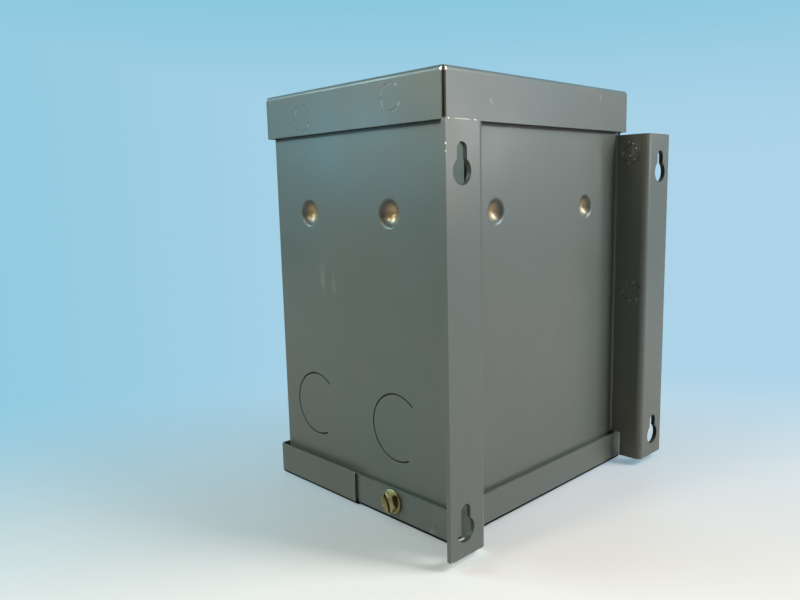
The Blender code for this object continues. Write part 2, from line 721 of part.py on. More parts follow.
def foot(assembly, name, steel, side):
    """An angle that stands the core on the divider, cut away in the middle for the leads."""
    upright = CORE_FACE + FIT + FOOT_SHEET / 2
    level = CORE_BOTTOM + FOOT_SHEET / 2
    path = [
        (side * upright, level + FOOT_HEIGHT - FOOT_SHEET / 2),
        (side * upright, level),
        (side * (upright + FOOT_REACH), level),
    ]
    half = CORE_WIDTH / 2
    outline = folded_outline(path, FOOT_SHEET, FOOT_BEND)
    angle = assembly.piece(name, prism(outline, -half, half, "X"), steel)
    gap = FOOT_GAP_WIDTH / 2
    near = CORE_FACE + FIT + FOOT_SHEET + FIT
    ys = sorted((side * near, side * (near + FOOT_REACH + THROUGH)))
    gap_top = level + FOOT_HEIGHT
    assembly.cut(angle, block((-gap, ys[0], CORE_BOTTOM - THROUGH), (gap, ys[1], gap_top)))
    for x, z in core_bolt_places():
        if z < CORE_BOTTOM + YOKE:
            hole = round_cutter(CORE_BOLT_RADIUS + SCREW_CLEARANCE, 2 * THROUGH)
            assembly.cut(angle, hole, pointing((0, 1, 0), (x, side * upright, z)))


def core_fasteners(assembly, steel):
    """The bolts through the core, heads to the front, and their nuts."""
    for number, (x, z) in enumerate(core_bolt_places(), start=1):
        lower = z < CORE_BOTTOM + YOKE
        face = CORE_FACE + (FIT + FOOT_SHEET if lower else 0.0)
        matrix = pointing((0, -1, 0), (x, -face, z))
        grip = 2 * face
        profile = [
            (CORE_BOLT_RADIUS, -(grip + FIT + NUT_HEIGHT + BOLT_TAIL)),
            (CORE_BOLT_RADIUS, FIT * 2),
        ]
        bolt = assembly.piece(f"core_bolt_{number}", turned(profile, 12), steel, matrix)
        assembly.join(bolt, prism(hexagon(BOLT_FLATS), FIT, FIT + BOLT_HEAD), matrix)
        nut_matrix = pointing((0, 1, 0), (x, face, z))
        nut = assembly.piece(
            f"core_nut_{number}", prism(hexagon(BOLT_FLATS), FIT, FIT + NUT_HEIGHT), steel, nut_matrix
        )
        bore = round_cutter(CORE_BOLT_RADIUS + FIT, 4 * NUT_HEIGHT, 12)
        assembly.cut(nut, bore, nut_matrix)


def coil_layers():
    """Returns (name, build, kind) of the coil's layers, from the tongue outwards."""
    layers = [("coil_former", FORMER_WALL, "former")]
    windings = (
        ("primary_winding_1", PRIMARY_BUILD),
        ("primary_winding_2", PRIMARY_BUILD),
        ("secondary_winding_1", SECONDARY_BUILD),
        ("secondary_winding_2", SECONDARY_BUILD),
    )
    for number, (name, build) in enumerate(windings, start=1):
        layers.append((name, build, "winding"))
        layers.append((f"insulation_wrap_{number}", WRAP_BUILD, "wrap"))
    return layers


def coil(assembly, finishes):
    """The former on the core's tongue, and the windings and wraps round it."""
    x, y, corner = TONGUE_WIDTH / 2 + FIT, CORE_FACE + FIT, FIT
    for name, build, kind in coil_layers():
        mesh = ring_prism(x, y, build, corner, COIL_BOTTOM, COIL_TOP)
        assembly.piece(name, mesh, finishes[kind])
        x += build + FIT
        y += build + FIT
        corner += build + FIT


def coil_half_sizes():
    """Returns the coil's outer half width and half depth."""
    total = sum(build + FIT for _, build, _ in coil_layers())
    return TONGUE_WIDTH / 2 + total, CORE_FACE + total


def potting(assembly, compound):
    """The compound that fills the case above the divider, cast round the core and coil."""
    low = (-INSIDE_X, INSIDE_FRONT_Y, CORE_BOTTOM)
    high = (INSIDE_X, INSIDE_REAR_Y, FILL_TOP)
    body = assembly.piece("potting", block(low, high), compound)
    below = CORE_BOTTOM - THROUGH
    half = CORE_WIDTH / 2 + FIT
    face = CORE_FACE + 2 * FIT + FOOT_SHEET
    assembly.cut(body, block((-half, -face, below), (half, face, CORE_TOP + FIT)))
    coil_x, coil_y = coil_half_sizes()
    gap = FOOT_GAP_WIDTH / 2
    well = max(coil_x + FIT, gap)
    assembly.cut(body, block((-well, -coil_y - FIT, below), (well, coil_y + FIT, COIL_TOP + FIT)))
    room = LEAD_PACK + LEAD_RADIUS + FIT
    lead_x, lead_y = GROMMET_X + room, GROMMET_Y - room
    assembly.cut(body, block((-lead_x, lead_y, below), (lead_x, -face, COIL_BOTTOM)))
    reach = face + FOOT_REACH
    foot_top = CORE_BOTTOM + FOOT_SHEET + FIT
    assembly.cut(body, block((-half, -reach, below), (half, reach, foot_top)))
    room = BOLT_FLATS / math.sqrt(3) + FIT
    for x, z in core_bolt_places():
        ahead = face + BOLT_HEAD + FIT
        behind = face + NUT_HEIGHT + BOLT_TAIL + FIT
        box = block((x - room, -ahead, z - room), (x + room, behind, z + room))
        assembly.cut(body, box)
    for sign in (-1, 1):
        recess = round_cutter(GROMMET_RIM + FIT, 2 * (GROMMET_THICK + FIT))
        place = (sign * GROMMET_X, GROMMET_Y, DIVIDER_Z + DIVIDER_SHEET / 2)
        assembly.cut(body, recess, Matrix.Translation(place))
    pocket = round_cutter(SCREW_RADIUS + FIT, 2 * GROUND_SCREW_LENGTH)
    assembly.cut(body, pocket, Matrix.Translation((GROUND_SCREW_X, GROUND_SCREW_Y, CORE_BOTTOM)))
    for place, outward in dimple_places():
        radius, height = dimple_sphere(outward)
        sheet = BACK_SHEET if outward[1] > 0 else CASE_SHEET
        bump = ball_cap(radius + sheet + 2 * FIT, height, -sheet * 0.8, CAST_DIMPLE_SEGMENTS, 3)
        assembly.cut(body, bump, pointing(outward, place))
    return body


def smooth_route(points, step):
    """Returns evenly read points on a smooth curve through a route's own points."""
    route = [Vector(p) for p in points]
    ends = [route[0] * 2 - route[1]] + route + [route[-1] * 2 - route[-2]]
    found = []
    for a, b, c, d in zip(ends, ends[1:], ends[2:], ends[3:]):
        pieces = max(2, round((c - b).length / step))
        for k in range(pieces):
            t = k / pieces
            point = b * 2 + (c - a) * t
            point += (a * 2 - b * 5 + c * 4 - d) * t**2
            point += (b * 3 - a - c * 3 + d) * t**3
            found.append(point / 2)
    found.append(route[-1])
    return found


def lead(assembly, name, finish, sign, index):
    """An insulated lead from the coil, through its grommet, folded into the compartment."""
    across, along = ((-1, -1), (-1, 1), (1, 1), (1, -1))[index]
    start_x = sign * GROMMET_X + across * LEAD_PACK
    start_y = GROMMET_Y + along * LEAD_PACK
    lane = sign * GROMMET_X + (index - 1.5) * LEAD_SPACING
    drop = LEAD_DROP * (1 - along) / 2
    fold_y = INSIDE_REAR_Y - LEAD_REAR_GAP
    points = [
        (start_x, start_y, COIL_BOTTOM - FIT),
        (start_x, start_y, DIVIDER_TOP + LEAD_GUIDE),
        (start_x, start_y, DIVIDER_Z - LEAD_EXIT - drop),
        (lane, LEAD_TURN_Y, LEAD_TURN_Z - drop),
        (lane, fold_y - LEAD_UPPER_RUN, LEAD_UPPER_Z),
        (lane, fold_y, LEAD_FOLD_Z),
        (lane, fold_y - LEAD_LOWER_RUN, LEAD_LOWER_Z),
        (lane, 0.0, LEAD_MIDDLE_Z),
        (lane, INSIDE_FRONT_Y + LEAD_FRONT_GAP, LEAD_END_Z),
    ]
    curve = bpy.data.curves.new(name, "CURVE")
    curve.dimensions = "3D"
    curve.bevel_depth = LEAD_RADIUS
    curve.bevel_resolution = 2
    curve.use_fill_caps = True
    spline = curve.splines.new("POLY")
    route = smooth_route(points, LEAD_STEP)
    spline.points.add(len(route) - 1)
    for point, place in zip(spline.points, route):
        point.co = (*place, 1.0)
    made = bpy.data.objects.new(name, curve)
    made.data.materials.append(finish)
    made.parent = assembly.centre
    bpy.context.scene.collection.objects.link(made)


def main():
    """Builds the transformer."""
    clear_scene()
    assembly = Assembly()
    paint = material("grey_enamel", (0.155, 0.185, 0.190), 0.38)
    zinc = material("yellow_zinc", (0.55, 0.43, 0.20), 0.35, 0.9)
    steel = material("plain_steel", (0.42, 0.43, 0.44), 0.45, 0.9)
    green = material("green_zinc", (0.05, 0.30, 0.10), 0.40, 0.6)
    iron = material("core_iron", (0.20, 0.20, 0.22), 0.50, 0.8)
    copper = material("enamelled_copper", (0.50, 0.20, 0.08), 0.35, 0.7)
    board = material("insulating_board", (0.60, 0.45, 0.26), 0.80)
    rubber = material("bushing", (0.02, 0.02, 0.02), 0.60)
    compound = material("potting_compound", (0.10, 0.09, 0.08), 0.75)
    insulation = {
        "h": material("black_insulation", (0.02, 0.02, 0.02), 0.50),
        "x": material("red_insulation", (0.45, 0.04, 0.03), 0.50),
    }

    case_wrap(assembly, paint)
    mounting_back(assembly, paint)
    top_cap(assembly, paint)
    bottom_pan(assembly, paint)
    wiring_cover(assembly, paint)

    for name, sign, slot_deg in (
        ("pan_screw_right", 1, RIGHT_SLOT_DEG),
        ("pan_screw_left", -1, LEFT_SLOT_DEG),
    ):
        seat = (sign * PAN_HALF_WIDTH, PAN_SCREW_Y, PAN_SCREW_Z)
        washer_head_screw(assembly, name, zinc, seat, (sign, 0, 0), SCREW_LENGTH, slot_deg)
    seat = (0, COVER_FRONT_Y, COVER_SCREW_Z)
    washer_head_screw(assembly, "cover_screw", zinc, seat, (0, -1, 0), SCREW_LENGTH, COVER_SLOT_DEG)
    seat = (GROUND_SCREW_X, GROUND_SCREW_Y, DIVIDER_Z)
    washer_head_screw(assembly, "ground_screw", green, seat, (0, 0, -1), GROUND_SCREW_LENGTH, GROUND_SLOT_DEG)

    divider(assembly, steel)
    grommet(assembly, "grommet_right", rubber, 1)
    grommet(assembly, "grommet_left", rubber, -1)
    core(assembly, iron)
    foot(assembly, "foot_front", steel, -1)
    foot(assembly, "foot_rear", steel, 1)
    core_fasteners(assembly, steel)
    coil(assembly, {"former": board, "winding": copper, "wrap": board})
    potting(assembly, compound)
    for family, sign in (("h", 1), ("x", -1)):
        for index in range(4):
            lead(assembly, f"lead_{family}{index + 1}", insulation[family], sign, index)


main()
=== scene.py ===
"""Looks of the buck boost transformer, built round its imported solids.

Metres, +Z up. The mounting flanges face +Y, the wiring cover faces -Y. Lengths inside the
sub-assemblies are measured from the case's centre line, which stands at Y = centre_y.
"""

from __future__ import annotations

import logging
import math
from dataclasses import dataclass
from enum import Enum
from typing import Iterable, Sequence, Union

import bmesh
import bpy
from mathutils import Matrix, Vector

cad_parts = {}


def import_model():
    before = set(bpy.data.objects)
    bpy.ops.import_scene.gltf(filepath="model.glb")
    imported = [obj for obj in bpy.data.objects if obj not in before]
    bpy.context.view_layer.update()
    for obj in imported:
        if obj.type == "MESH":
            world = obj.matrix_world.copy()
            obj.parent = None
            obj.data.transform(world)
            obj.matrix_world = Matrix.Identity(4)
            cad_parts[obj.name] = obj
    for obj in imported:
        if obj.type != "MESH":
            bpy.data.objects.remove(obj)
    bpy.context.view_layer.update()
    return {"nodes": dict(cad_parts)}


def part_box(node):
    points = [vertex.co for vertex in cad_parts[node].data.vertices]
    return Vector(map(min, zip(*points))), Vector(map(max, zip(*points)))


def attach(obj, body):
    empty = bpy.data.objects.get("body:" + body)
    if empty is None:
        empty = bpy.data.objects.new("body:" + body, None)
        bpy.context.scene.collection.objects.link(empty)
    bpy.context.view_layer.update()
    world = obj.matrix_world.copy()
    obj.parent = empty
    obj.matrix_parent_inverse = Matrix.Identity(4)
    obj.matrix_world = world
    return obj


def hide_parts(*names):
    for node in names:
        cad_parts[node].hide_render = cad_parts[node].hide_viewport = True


LOG = logging.getLogger("transformer")
MM = 0.001
FIT = 0.3 * MM
THROUGH = 4.0 * MM
ROOT = "root"

Point2 = tuple[float, float]
Point3 = tuple[float, float, float]
Colour = tuple[float, float, float]
Socket = bpy.types.NodeSocket
Mesh = bmesh.types.BMesh
Material = bpy.types.Material
Piece = bpy.types.Object
Given = Union[Socket, str, float, Point3]
Inputs = dict[Union[int, str], Given]


class Axis(Enum):
    """One of the three axes, with its direction."""

    X = (1.0, 0.0, 0.0)
    Y = (0.0, 1.0, 0.0)
    Z = (0.0, 0.0, 1.0)


class MarkKind(Enum):
    """What a mark on the enamel looks like."""

    RING = "ring"
    CHIP = "chip"
    SCUFF = "scuff"
    DOT = "dot"
    # Painted shade on the walls of a hole.
    WALL = "wall"
    THIN = "thin"
    EDGE = "edge"


def arc(centre: Point2, radius: float, start: float, end: float, steps: int) -> list[Point2]:
    """Returns points on an arc, both ends included.

    Args:
        centre: Centre of the arc.
        radius: Radius of the arc.
        start: First angle in degrees.
        end: Last angle in degrees.
        steps: Number of chords.

    Returns:
        The points, steps + 1 of them.
    """
    points = []
    for index in range(steps + 1):
        angle = math.radians(start + (end - start) * index / steps)
        points.append((centre[0] + radius * math.cos(angle), centre[1] + radius * math.sin(angle)))
    return points


def folded_outline(path: Sequence[Point2], sheet: float, bend: float, steps: int = 10) -> list[Point2]:
    """Returns the outline of a sheet that follows straight runs with round bends.

    Args:
        path: Corners of the sheet's middle line.
        sheet: Thickness of the sheet.
        bend: Inner radius of the bends.
        steps: Chords in each bend.

    Returns:
        The closed outline's points.
    """
    left: list[Vector] = []
    right: list[Vector] = []
    middle = bend + sheet / 2
    points = [Vector(point) for point in path]
    for index, point in enumerate(points):
        if index in (0, len(points) - 1):
            other = points[1] if index == 0 else points[-2]
            along = (other - point).normalized() * (1 if index == 0 else -1)
            side = Vector((-along.y, along.x)) * (sheet / 2)
            left.append(point + side)
            right.append(point - side)
            continue
        into = (point - points[index - 1]).normalized()
        out = (points[index + 1] - point).normalized()
        half = math.acos(max(-1.0, min(1.0, into.dot(out)))) / 2
        sign = 1 if into.x * out.y - into.y * out.x > 0 else -1
        normal = Vector((-into.y, into.x)) * sign
        centre = point - into * middle * math.tan(half) + normal * middle
        start = math.atan2(-normal.y, -normal.x)
        for step in range(steps + 1):
            angle = start + sign * 2 * half * step / steps
            ray = Vector((math.cos(angle), math.sin(angle)))
            near = centre + ray * (middle - sheet / 2)
            far = centre + ray * (middle + sheet / 2)
            left.append(near if sign > 0 else far)
            right.append(far if sign > 0 else near)
    return [(p.x, p.y) for p in left] + [(p.x, p.y) for p in reversed(right)]


def prism(outline: Sequence[Point2], low: float, high: float, axis: Axis = Axis.Z) -> Mesh:
    """Returns an outline extruded along an axis.

    Args:
        outline: Points in (x, y) for Z, (x, z) for Y and (y, z) for X.
        low: Where the extrusion starts.
        high: Where it ends.
        axis: The axis that it follows.

    Returns:
        The closed mesh.
    """
    place = {
        Axis.Z: lambda u, v, w: (u, v, w),
        Axis.Y: lambda u, v, w: (u, w, v),
        Axis.X: lambda u, v, w: (w, u, v),
    }[axis]
    mesh = bmesh.new()
    bottom = [mesh.verts.new(place(u, v, low)) for u, v in outline]
    top = [mesh.verts.new(place(u, v, high)) for u, v in outline]
    mesh.faces.new(bottom)
    mesh.faces.new(top)
    for index, vert in enumerate(bottom):
        after = (index + 1) % len(bottom)
        mesh.faces.new((vert, bottom[after], top[after], top[index]))
    bmesh.ops.recalc_face_normals(mesh, faces=mesh.faces)
    return mesh


def block(low: Point3, high: Point3) -> Mesh:
    """Returns the mesh of a box between two corners."""
    outline = [(low[0], low[1]), (high[0], low[1]), (high[0], high[1]), (low[0], high[1])]
    return prism(outline, low[2], high[2])


def turned(profile: Sequence[Point2], segments: int = 32, ring: bool = False) -> Mesh:
    """Returns a profile turned about Z.

    Args:
        profile: (radius, height) points. A radius of 0 makes a pole.
        segments: Faces round the axis.
        ring: Joins the last point to the first.

    Returns:
        The closed mesh.
    """
    mesh = bmesh.new()
    rows = []
    for radius, height in profile:
        if radius <= 0:
            rows.append([mesh.verts.new((0, 0, height))])
            continue
        angles = [2 * math.pi * k / segments for k in range(segments)]
        rows.append([mesh.verts.new((radius * math.cos(a), radius * math.sin(a), height)) for a in angles])
    pairs = list(zip(rows, rows[1:]))
    if ring:
        pairs.append((rows[-1], rows[0]))
    else:
        for row in (rows[0], rows[-1]):
            if len(row) > 1:
                mesh.faces.new(row)
    for row, following in pairs:
        for k in range(segments):
            j = (k + 1) % segments
            spots = ((row, k), (row, j), (following, j), (following, k))
            corners = [line[i % len(line)] for line, i in spots]
            mesh.faces.new(list(dict.fromkeys(corners)))
    bmesh.ops.recalc_face_normals(mesh, faces=mesh.faces)
    return mesh


def hexagon(flats: float) -> list[Point2]:
    """Returns the outline of a hexagon across its flats."""
    return arc((0, 0), flats / math.sqrt(3), 0, 300, 5)


def pointing(direction: Point3, place: Point3) -> Matrix:
    """Returns the matrix that turns +Z towards a direction and moves to a place."""
    turn = Vector((0, 0, 1)).rotation_difference(Vector(direction)).to_matrix().to_4x4()
    return Matrix.Translation(place) @ turn


def link_mesh(name: str, mesh: Mesh) -> Piece:
    """Links a mesh to the scene as an object at the origin.

    Args:
        name: Name of the object.
        mesh: Its mesh, which is freed.

    Returns:
        The object.
    """
    data = bpy.data.meshes.new(name)
    mesh.to_mesh(data)
    mesh.free()
    made = bpy.data.objects.new(name, data)
    bpy.context.scene.collection.objects.link(made)
    return made


def bake(target: Piece, name: str) -> Piece:
    """Turns an object with modifiers into a plain mesh object.

    Args:
        target: The object, which is removed.
        name: Name of the plain object.

    Returns:
        The plain object, at the origin.
    """
    bpy.context.view_layer.update()
    graph = bpy.context.evaluated_depsgraph_get()
    data = bpy.data.meshes.new_from_object(
        target.evaluated_get(graph), preserve_all_data_layers=True, depsgraph=graph
    )
    data.name = name
    bpy.data.objects.remove(target, do_unlink=True)
    made = bpy.data.objects.new(name, data)
    bpy.context.scene.collection.objects.link(made)
    return made


class Workpiece:
    """A blank that is cut and joined, then finished as one plain mesh."""

    def __init__(self, name: str, blank: Mesh, centre_y: float) -> None:
        """Starts from a blank.

        Args:
            name: Name of the finished piece.
            blank: The blank's mesh, measured from the case's centre line.
            centre_y: Where that line stands.
        """
        self.name = name
        self.shift = Matrix.Translation((0, centre_y, 0))
        blank.transform(self.shift)
        self.object = link_mesh(f"{name}_blank", blank)
        self.tools: list[Piece] = []

    def _combine(self, mesh: Mesh, operation: str, matrix: Matrix | None) -> None:
        """Adds one Boolean step.

        Args:
            mesh: Mesh of the tool.
            operation: Name of the Boolean operation.
            matrix: Where the tool stands, from the case's centre line.
        """
        mesh.transform(self.shift @ (matrix or Matrix.Identity(4)))
        tool = link_mesh(f"{self.name}_tool", mesh)
        self.tools.append(tool)
        step = self.object.modifiers.new(operation.lower(), "BOOLEAN")
        step.operation = operation
        step.solver = "EXACT"
        step.object = tool

    def cut(self, mesh: Mesh, matrix: Matrix | None = None) -> None:
        """Cuts a mesh from the blank."""
        self._combine(mesh, "DIFFERENCE", matrix)

    def join(self, mesh: Mesh, matrix: Matrix | None = None) -> None:
        """Joins a mesh to the blank."""
        self._combine(mesh, "UNION", matrix)

    def finish(self, material: Material, edge: float, smooth_deg: float = 32.0) -> Piece:
        """Breaks the edges, shades the faces and returns the plain piece.

        Args:
            material: The piece's finish.
            edge: Width of the broken edges.
            smooth_deg: Faces that meet at less than this are shaded as one.

        Returns:
            The finished object.
        """
        rounding = self.object.modifiers.new("edges", "BEVEL")
        rounding.width = edge
        rounding.segments = 2
        rounding.limit_method = "ANGLE"
        rounding.angle_limit = math.radians(50)
        rounding.use_clamp_overlap = True
        made = bake(self.object, self.name)
        for tool in self.tools:
            bpy.data.objects.remove(tool, do_unlink=True)
        dress(made, material)
        made.data.set_sharp_from_angle(angle=math.radians(smooth_deg))
        normals = made.modifiers.new("normals", "WEIGHTED_NORMAL")
        normals.keep_sharp = True
        normals.weight = 100
        return bake(made, self.name)


def dress(piece: Piece, material: Material) -> None:
    """Gives a piece one material and smooth faces.

    Args:
        piece: The piece.
        material: Its finish.
    """
    piece.data.materials.clear()
    piece.data.materials.append(material)
    piece.data.shade_smooth()


def settle(piece: Piece, nodes: Iterable[str]) -> None:
    """Puts a finished piece on the case in place of its solids.

    Args:
        piece: The finished object.
        nodes: The solids that it stands for.
    """
    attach(piece, ROOT)
    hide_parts(*nodes)
    LOG.info("%s stands for %s, %d faces", piece.name, ", ".join(nodes), len(piece.data.polygons))


@dataclass(frozen=True)
class Mark:
    """One mark on the enamel, at a place in the part's own frame."""

    kind: MarkKind
    place: Point3
    radius: float
    strength: float = 1.0


@dataclass(frozen=True)
class Pattern:
    """Noise with so many features per metre, and the two of its values between which it steps."""

    scale: float
    detail: float
    low: float = 0.2
    high: float = 0.8
    stretch: Point3 = (1, 1, 1)


class Nodes:
    """Adds nodes to a tree and joins them."""

    def __init__(self, tree: bpy.types.NodeTree) -> None:
        """Starts work on a tree."""
        self.tree = tree

    def give(self, socket: Socket, given: Given) -> None:
        """Joins an output to a socket, or sets the socket's own value.

        Args:
            socket: The socket.
            given: The output to join, or the value to set.
        """
        if isinstance(given, Socket):
            self.tree.links.new(given, socket)
        else:
            socket.default_value = (*given, 1.0) if socket.type == "RGBA" else given

    def add(self, kind: str, inputs: Inputs | None = None, **settings: object) -> bpy.types.Node:
        """Adds a node.

        Args:
            kind: Type of the node.
            inputs: What its sockets are given, by name or number.
            **settings: The node's own properties.

        Returns:
            The node.
        """
        made = self.tree.nodes.new(kind)
        for name, setting in settings.items():
            setattr(made, name, setting)
        for key, given in (inputs or {}).items():
            self.give(made.inputs[key], given)
        return made

    def math(self, operation: str, first: Given, second: Given = 0.0) -> Socket:
        """Returns the result of a sum on sockets or numbers."""
        return self.add("ShaderNodeMath", {0: first, 1: second}, operation=operation).outputs[0]

    def times(self, first: Given, second: Given) -> Socket:
        """Returns the product of two values."""
        return self.math("MULTIPLY", first, second)

    def vector(self, operation: str, first: Given, second: Given = (0.0, 0.0, 0.0)) -> Socket:
        """Returns the result of a vector operation, a number for a product or a distance."""
        made = self.add("ShaderNodeVectorMath", {0: first, 1: second}, operation=operation)
        return made.outputs["Value" if operation in ("DOT_PRODUCT", "DISTANCE") else "Vector"]

    def band(
        self, given: Given, low: float, high: float, start: float = 0.0, end: float = 1.0
    ) -> Socket:
        """Returns a smooth step of a value.

        Args:
            given: The value.
            low: Where the step starts.
            high: Where it ends.
            start: Result below the step.
            end: Result above it.

        Returns:
            The stepped value.
        """
        inputs = {"Value": given, "From Min": low, "From Max": high, "To Min": start, "To Max": end}
        return self.add("ShaderNodeMapRange", inputs, interpolation_type="SMOOTHSTEP").outputs["Result"]

    def fall(self, given: Given, low: float, high: float, top: float = 1.0) -> Socket:
        """Returns a smooth step from a top value down to 0."""
        return self.band(given, low, high, top, 0.0)

    def mix(self, factor: Given, first: Given, second: Given) -> Socket:
        """Returns a mix of two colours, each a socket or a colour.

        Args:
            factor: Share of the second colour.
            first: First colour.
            second: Second colour.

        Returns:
            The mixed colour.
        """
        made = self.add("ShaderNodeMix", {"Factor": factor}, data_type="RGBA")
        for socket, given in zip([s for s in made.inputs if s.type == "RGBA"], (first, second)):
            self.give(socket, given)
        return next(s for s in made.outputs if s.type == "RGBA")

    def blend(self, factor: Given, first: Given, second: Given) -> Socket:
        """Returns a mix of two shaders."""
        return self.add("ShaderNodeMixShader", {0: factor, 1: first, 2: second}).outputs[0]


class Shader(Nodes):
    """Builds one material round its surface."""

    def __init__(self, name: str) -> None:
        """Starts a material that reads Object coordinates.

        Args:
            name: Name of the material.
        """
        self.material = bpy.data.materials.new(name)
        self.material.use_nodes = True
        super().__init__(self.material.node_tree)
        self.surface = self.tree.nodes["Principled BSDF"]
        self.place = self.add("ShaderNodeTexCoord").outputs["Object"]

    def set(self, name: str, given: Given) -> None:
        """Sets or feeds one of the surface's own sockets."""
        self.give(self.surface.inputs[name], given)

    def along(self, axis: Axis) -> Socket:
        """Returns the coordinate on an axis."""
        return self.vector("DOT_PRODUCT", self.place, axis.value)

    def off(self, given: Given, level: float) -> Socket:
        """Returns how far a value is from a level."""
        return self.math("ABSOLUTE", self.math("SUBTRACT", given, level))

    def noise(self, pattern: Pattern) -> Socket:
        """Returns the plain noise of a pattern.

        Args:
            pattern: The pattern.

        Returns:
            The noise, round 0.5.
        """
        spread = self.add("ShaderNodeMapping", {"Vector": self.place, "Scale": pattern.stretch}).outputs[0]
        inputs = {"Vector": spread, "Scale": pattern.scale, "Detail": pattern.detail}
        return self.add("ShaderNodeTexNoise", inputs).outputs["Fac"]

    def patches(self, pattern: Pattern, start: float = 0.0, end: float = 1.0) -> Socket:
        """Returns a pattern as soft patches of one value in another."""
        return self.band(self.noise(pattern), pattern.low, pattern.high, start, end)

    def fade(self, away: Given, radius: float, shares: Point2, top: float = 1.0) -> Socket:
        """Returns a spot that fades out between two shares of its radius."""
        return self.fall(away, radius * shares[0], radius * shares[1], top)

    def bump(self, height: Given, distance: float, strength: float) -> Socket:
        """Returns a normal raised by a height.

        Args:
            height: The height's factor.
            distance: Real height of a factor of 1.
            strength: Share of the effect.

        Returns:
            The normal.
        """
        inputs = {"Height": height, "Distance": distance, "Strength": strength}
        return self.add("ShaderNodeBump", inputs).outputs["Normal"]


@dataclass(frozen=True)
class Enamel:
    """Grey enamel on sheet steel, with its orange peel, small marks and chips, and painted shade and
    highlights: under the cap's skirt, in the keyholes, at the foot and on a flange edge.
    """

    shade: Colour = (0.059, 0.073, 0.067)
    warm_shade: Colour = (0.067, 0.071, 0.059)
    bare: Colour = (0.50, 0.49, 0.44)
    thin: Colour = (0.300, 0.200, 0.100)
    # Worn paint and a painted highlight along the flange's top edge.
    worn_edge_highlight: Colour = (0.42, 0.40, 0.30)
    scuffed: Colour = (0.27, 0.28, 0.24)
    weld_pale: Colour = (0.24, 0.25, 0.21)
    weld_dark: Colour = (0.022, 0.026, 0.022)
    pit: Colour = (0.030, 0.032, 0.030)
    # Painted shade: the keyholes' walls.
    painted_hole_shade: Colour = (0.012, 0.016, 0.013)
    # Painted shade: the cap skirt's shadow on the wall below it.
    painted_skirt_shadow: Colour = (0.008, 0.012, 0.012)
    # Painted shade: the contact shadow at the foot of the pan and cover.
    painted_contact_shadow: Colour = (0.006, 0.008, 0.007)
    speck_gain: float = 1.35
    speck_share: float = 0.35
    gloss: float = 0.385
    gloss_drift: Point2 = (-0.05, 0.07)
    coat: float = 0.10
    coat_gloss: float = 0.22
    specular: float = 0.5
    peel: float = 0.03 * MM
    peel_share: float = 0.55
    clouds: Pattern = Pattern(11, 3, 0.30, 0.70)
    specks: Pattern = Pattern(700, 1, 0.62, 0.78)
    sheen: Pattern = Pattern(35, 4, 0.25, 0.75)
    orange_peel: Pattern = Pattern(520, 2)
    ragged: Pattern = Pattern(900, 3)
    ring_gaps: Pattern = Pattern(170, 1, 0.44, 0.56)
    ring_fused: Pattern = Pattern(420, 2, 0.55, 0.62)
    streaks: Pattern = Pattern(240, 2, 0.50, 0.62, (1, 1, 0.25))
    ragged_share: float = 0.9
    edge_fade: Point2 = (1.0, 1.3)
    thin_fade: Point2 = (0.45, 1.0)
    chip_fade: Point2 = (1.25, 1.35)
    scuff_fade: Point2 = (0.6, 1.6)
    dot_fade: Point2 = (1.0, 1.4)
    hole_shade_fade: float = 0.3 * MM
    hole_shade_half: Point2 = (0.80 * MM, 0.95 * MM)
    edge_half: Point2 = (0.20 * MM, 0.40 * MM)
    ring_half: Point2 = (0.15 * MM, 0.75 * MM)
    # Painted skirt shadow: soft side edge, height of the band under the skirt's edge, and its strength.
    skirt_shadow_fade: float = 0.4 * MM
    skirt_shadow_rise: Point2 = (-1.5 * MM, -1.0 * MM)
    skirt_shadow_share: float = 0.85
    contact_shadow_start: float = 0.8

    def material(
        self, name: str, marks: Sequence[Mark] = (), contact_shadow_height: float = 0.0, lip: Point2 | None = None
    ) -> Material:
        """Returns the enamel for one piece.

        Args:
            name: Name of the material.
            marks: Marks on that piece, laid on in this order.
            contact_shadow_height: Height up to which the painted contact shadow at the foot reaches.
            lip: Height of the cap skirt's lower edge, and half the width of the painted shadow band under it.

        Returns:
            The material.
        """
        shader = Shader(name)
        lighter = tuple(c * self.speck_gain for c in self.shade)
        ground = shader.mix(shader.patches(self.clouds), self.shade, self.warm_shade)
        specks = shader.times(shader.patches(self.specks), self.speck_share)
        film = Film(
            enamel=self,
            shader=shader,
            colour=shader.mix(specks, ground, lighter),
            rough=shader.patches(self.sheen, *(self.gloss + drift for drift in self.gloss_drift)),
            relief=shader.noise(self.orange_peel),
            ragged=shader.noise(self.ragged),
        )
        for mark in marks:
            film.lay(mark)
        # Painted shadow under the cap's skirt.
        if lip:
            film.paint_skirt_shadow(*lip)
        shader.set("Coat Weight", self.coat)
        # Painted contact shadow at the foot.
        if contact_shadow_height:
            film.paint_contact_shadow(contact_shadow_height)
        shader.set("Base Color", film.colour)
        shader.set("Roughness", film.rough)
        shader.set("Metallic", film.metal)
        shader.set("Normal", shader.bump(film.relief, self.peel, self.peel_share))
        shader.set("Coat Roughness", self.coat_gloss)
        return shader.material


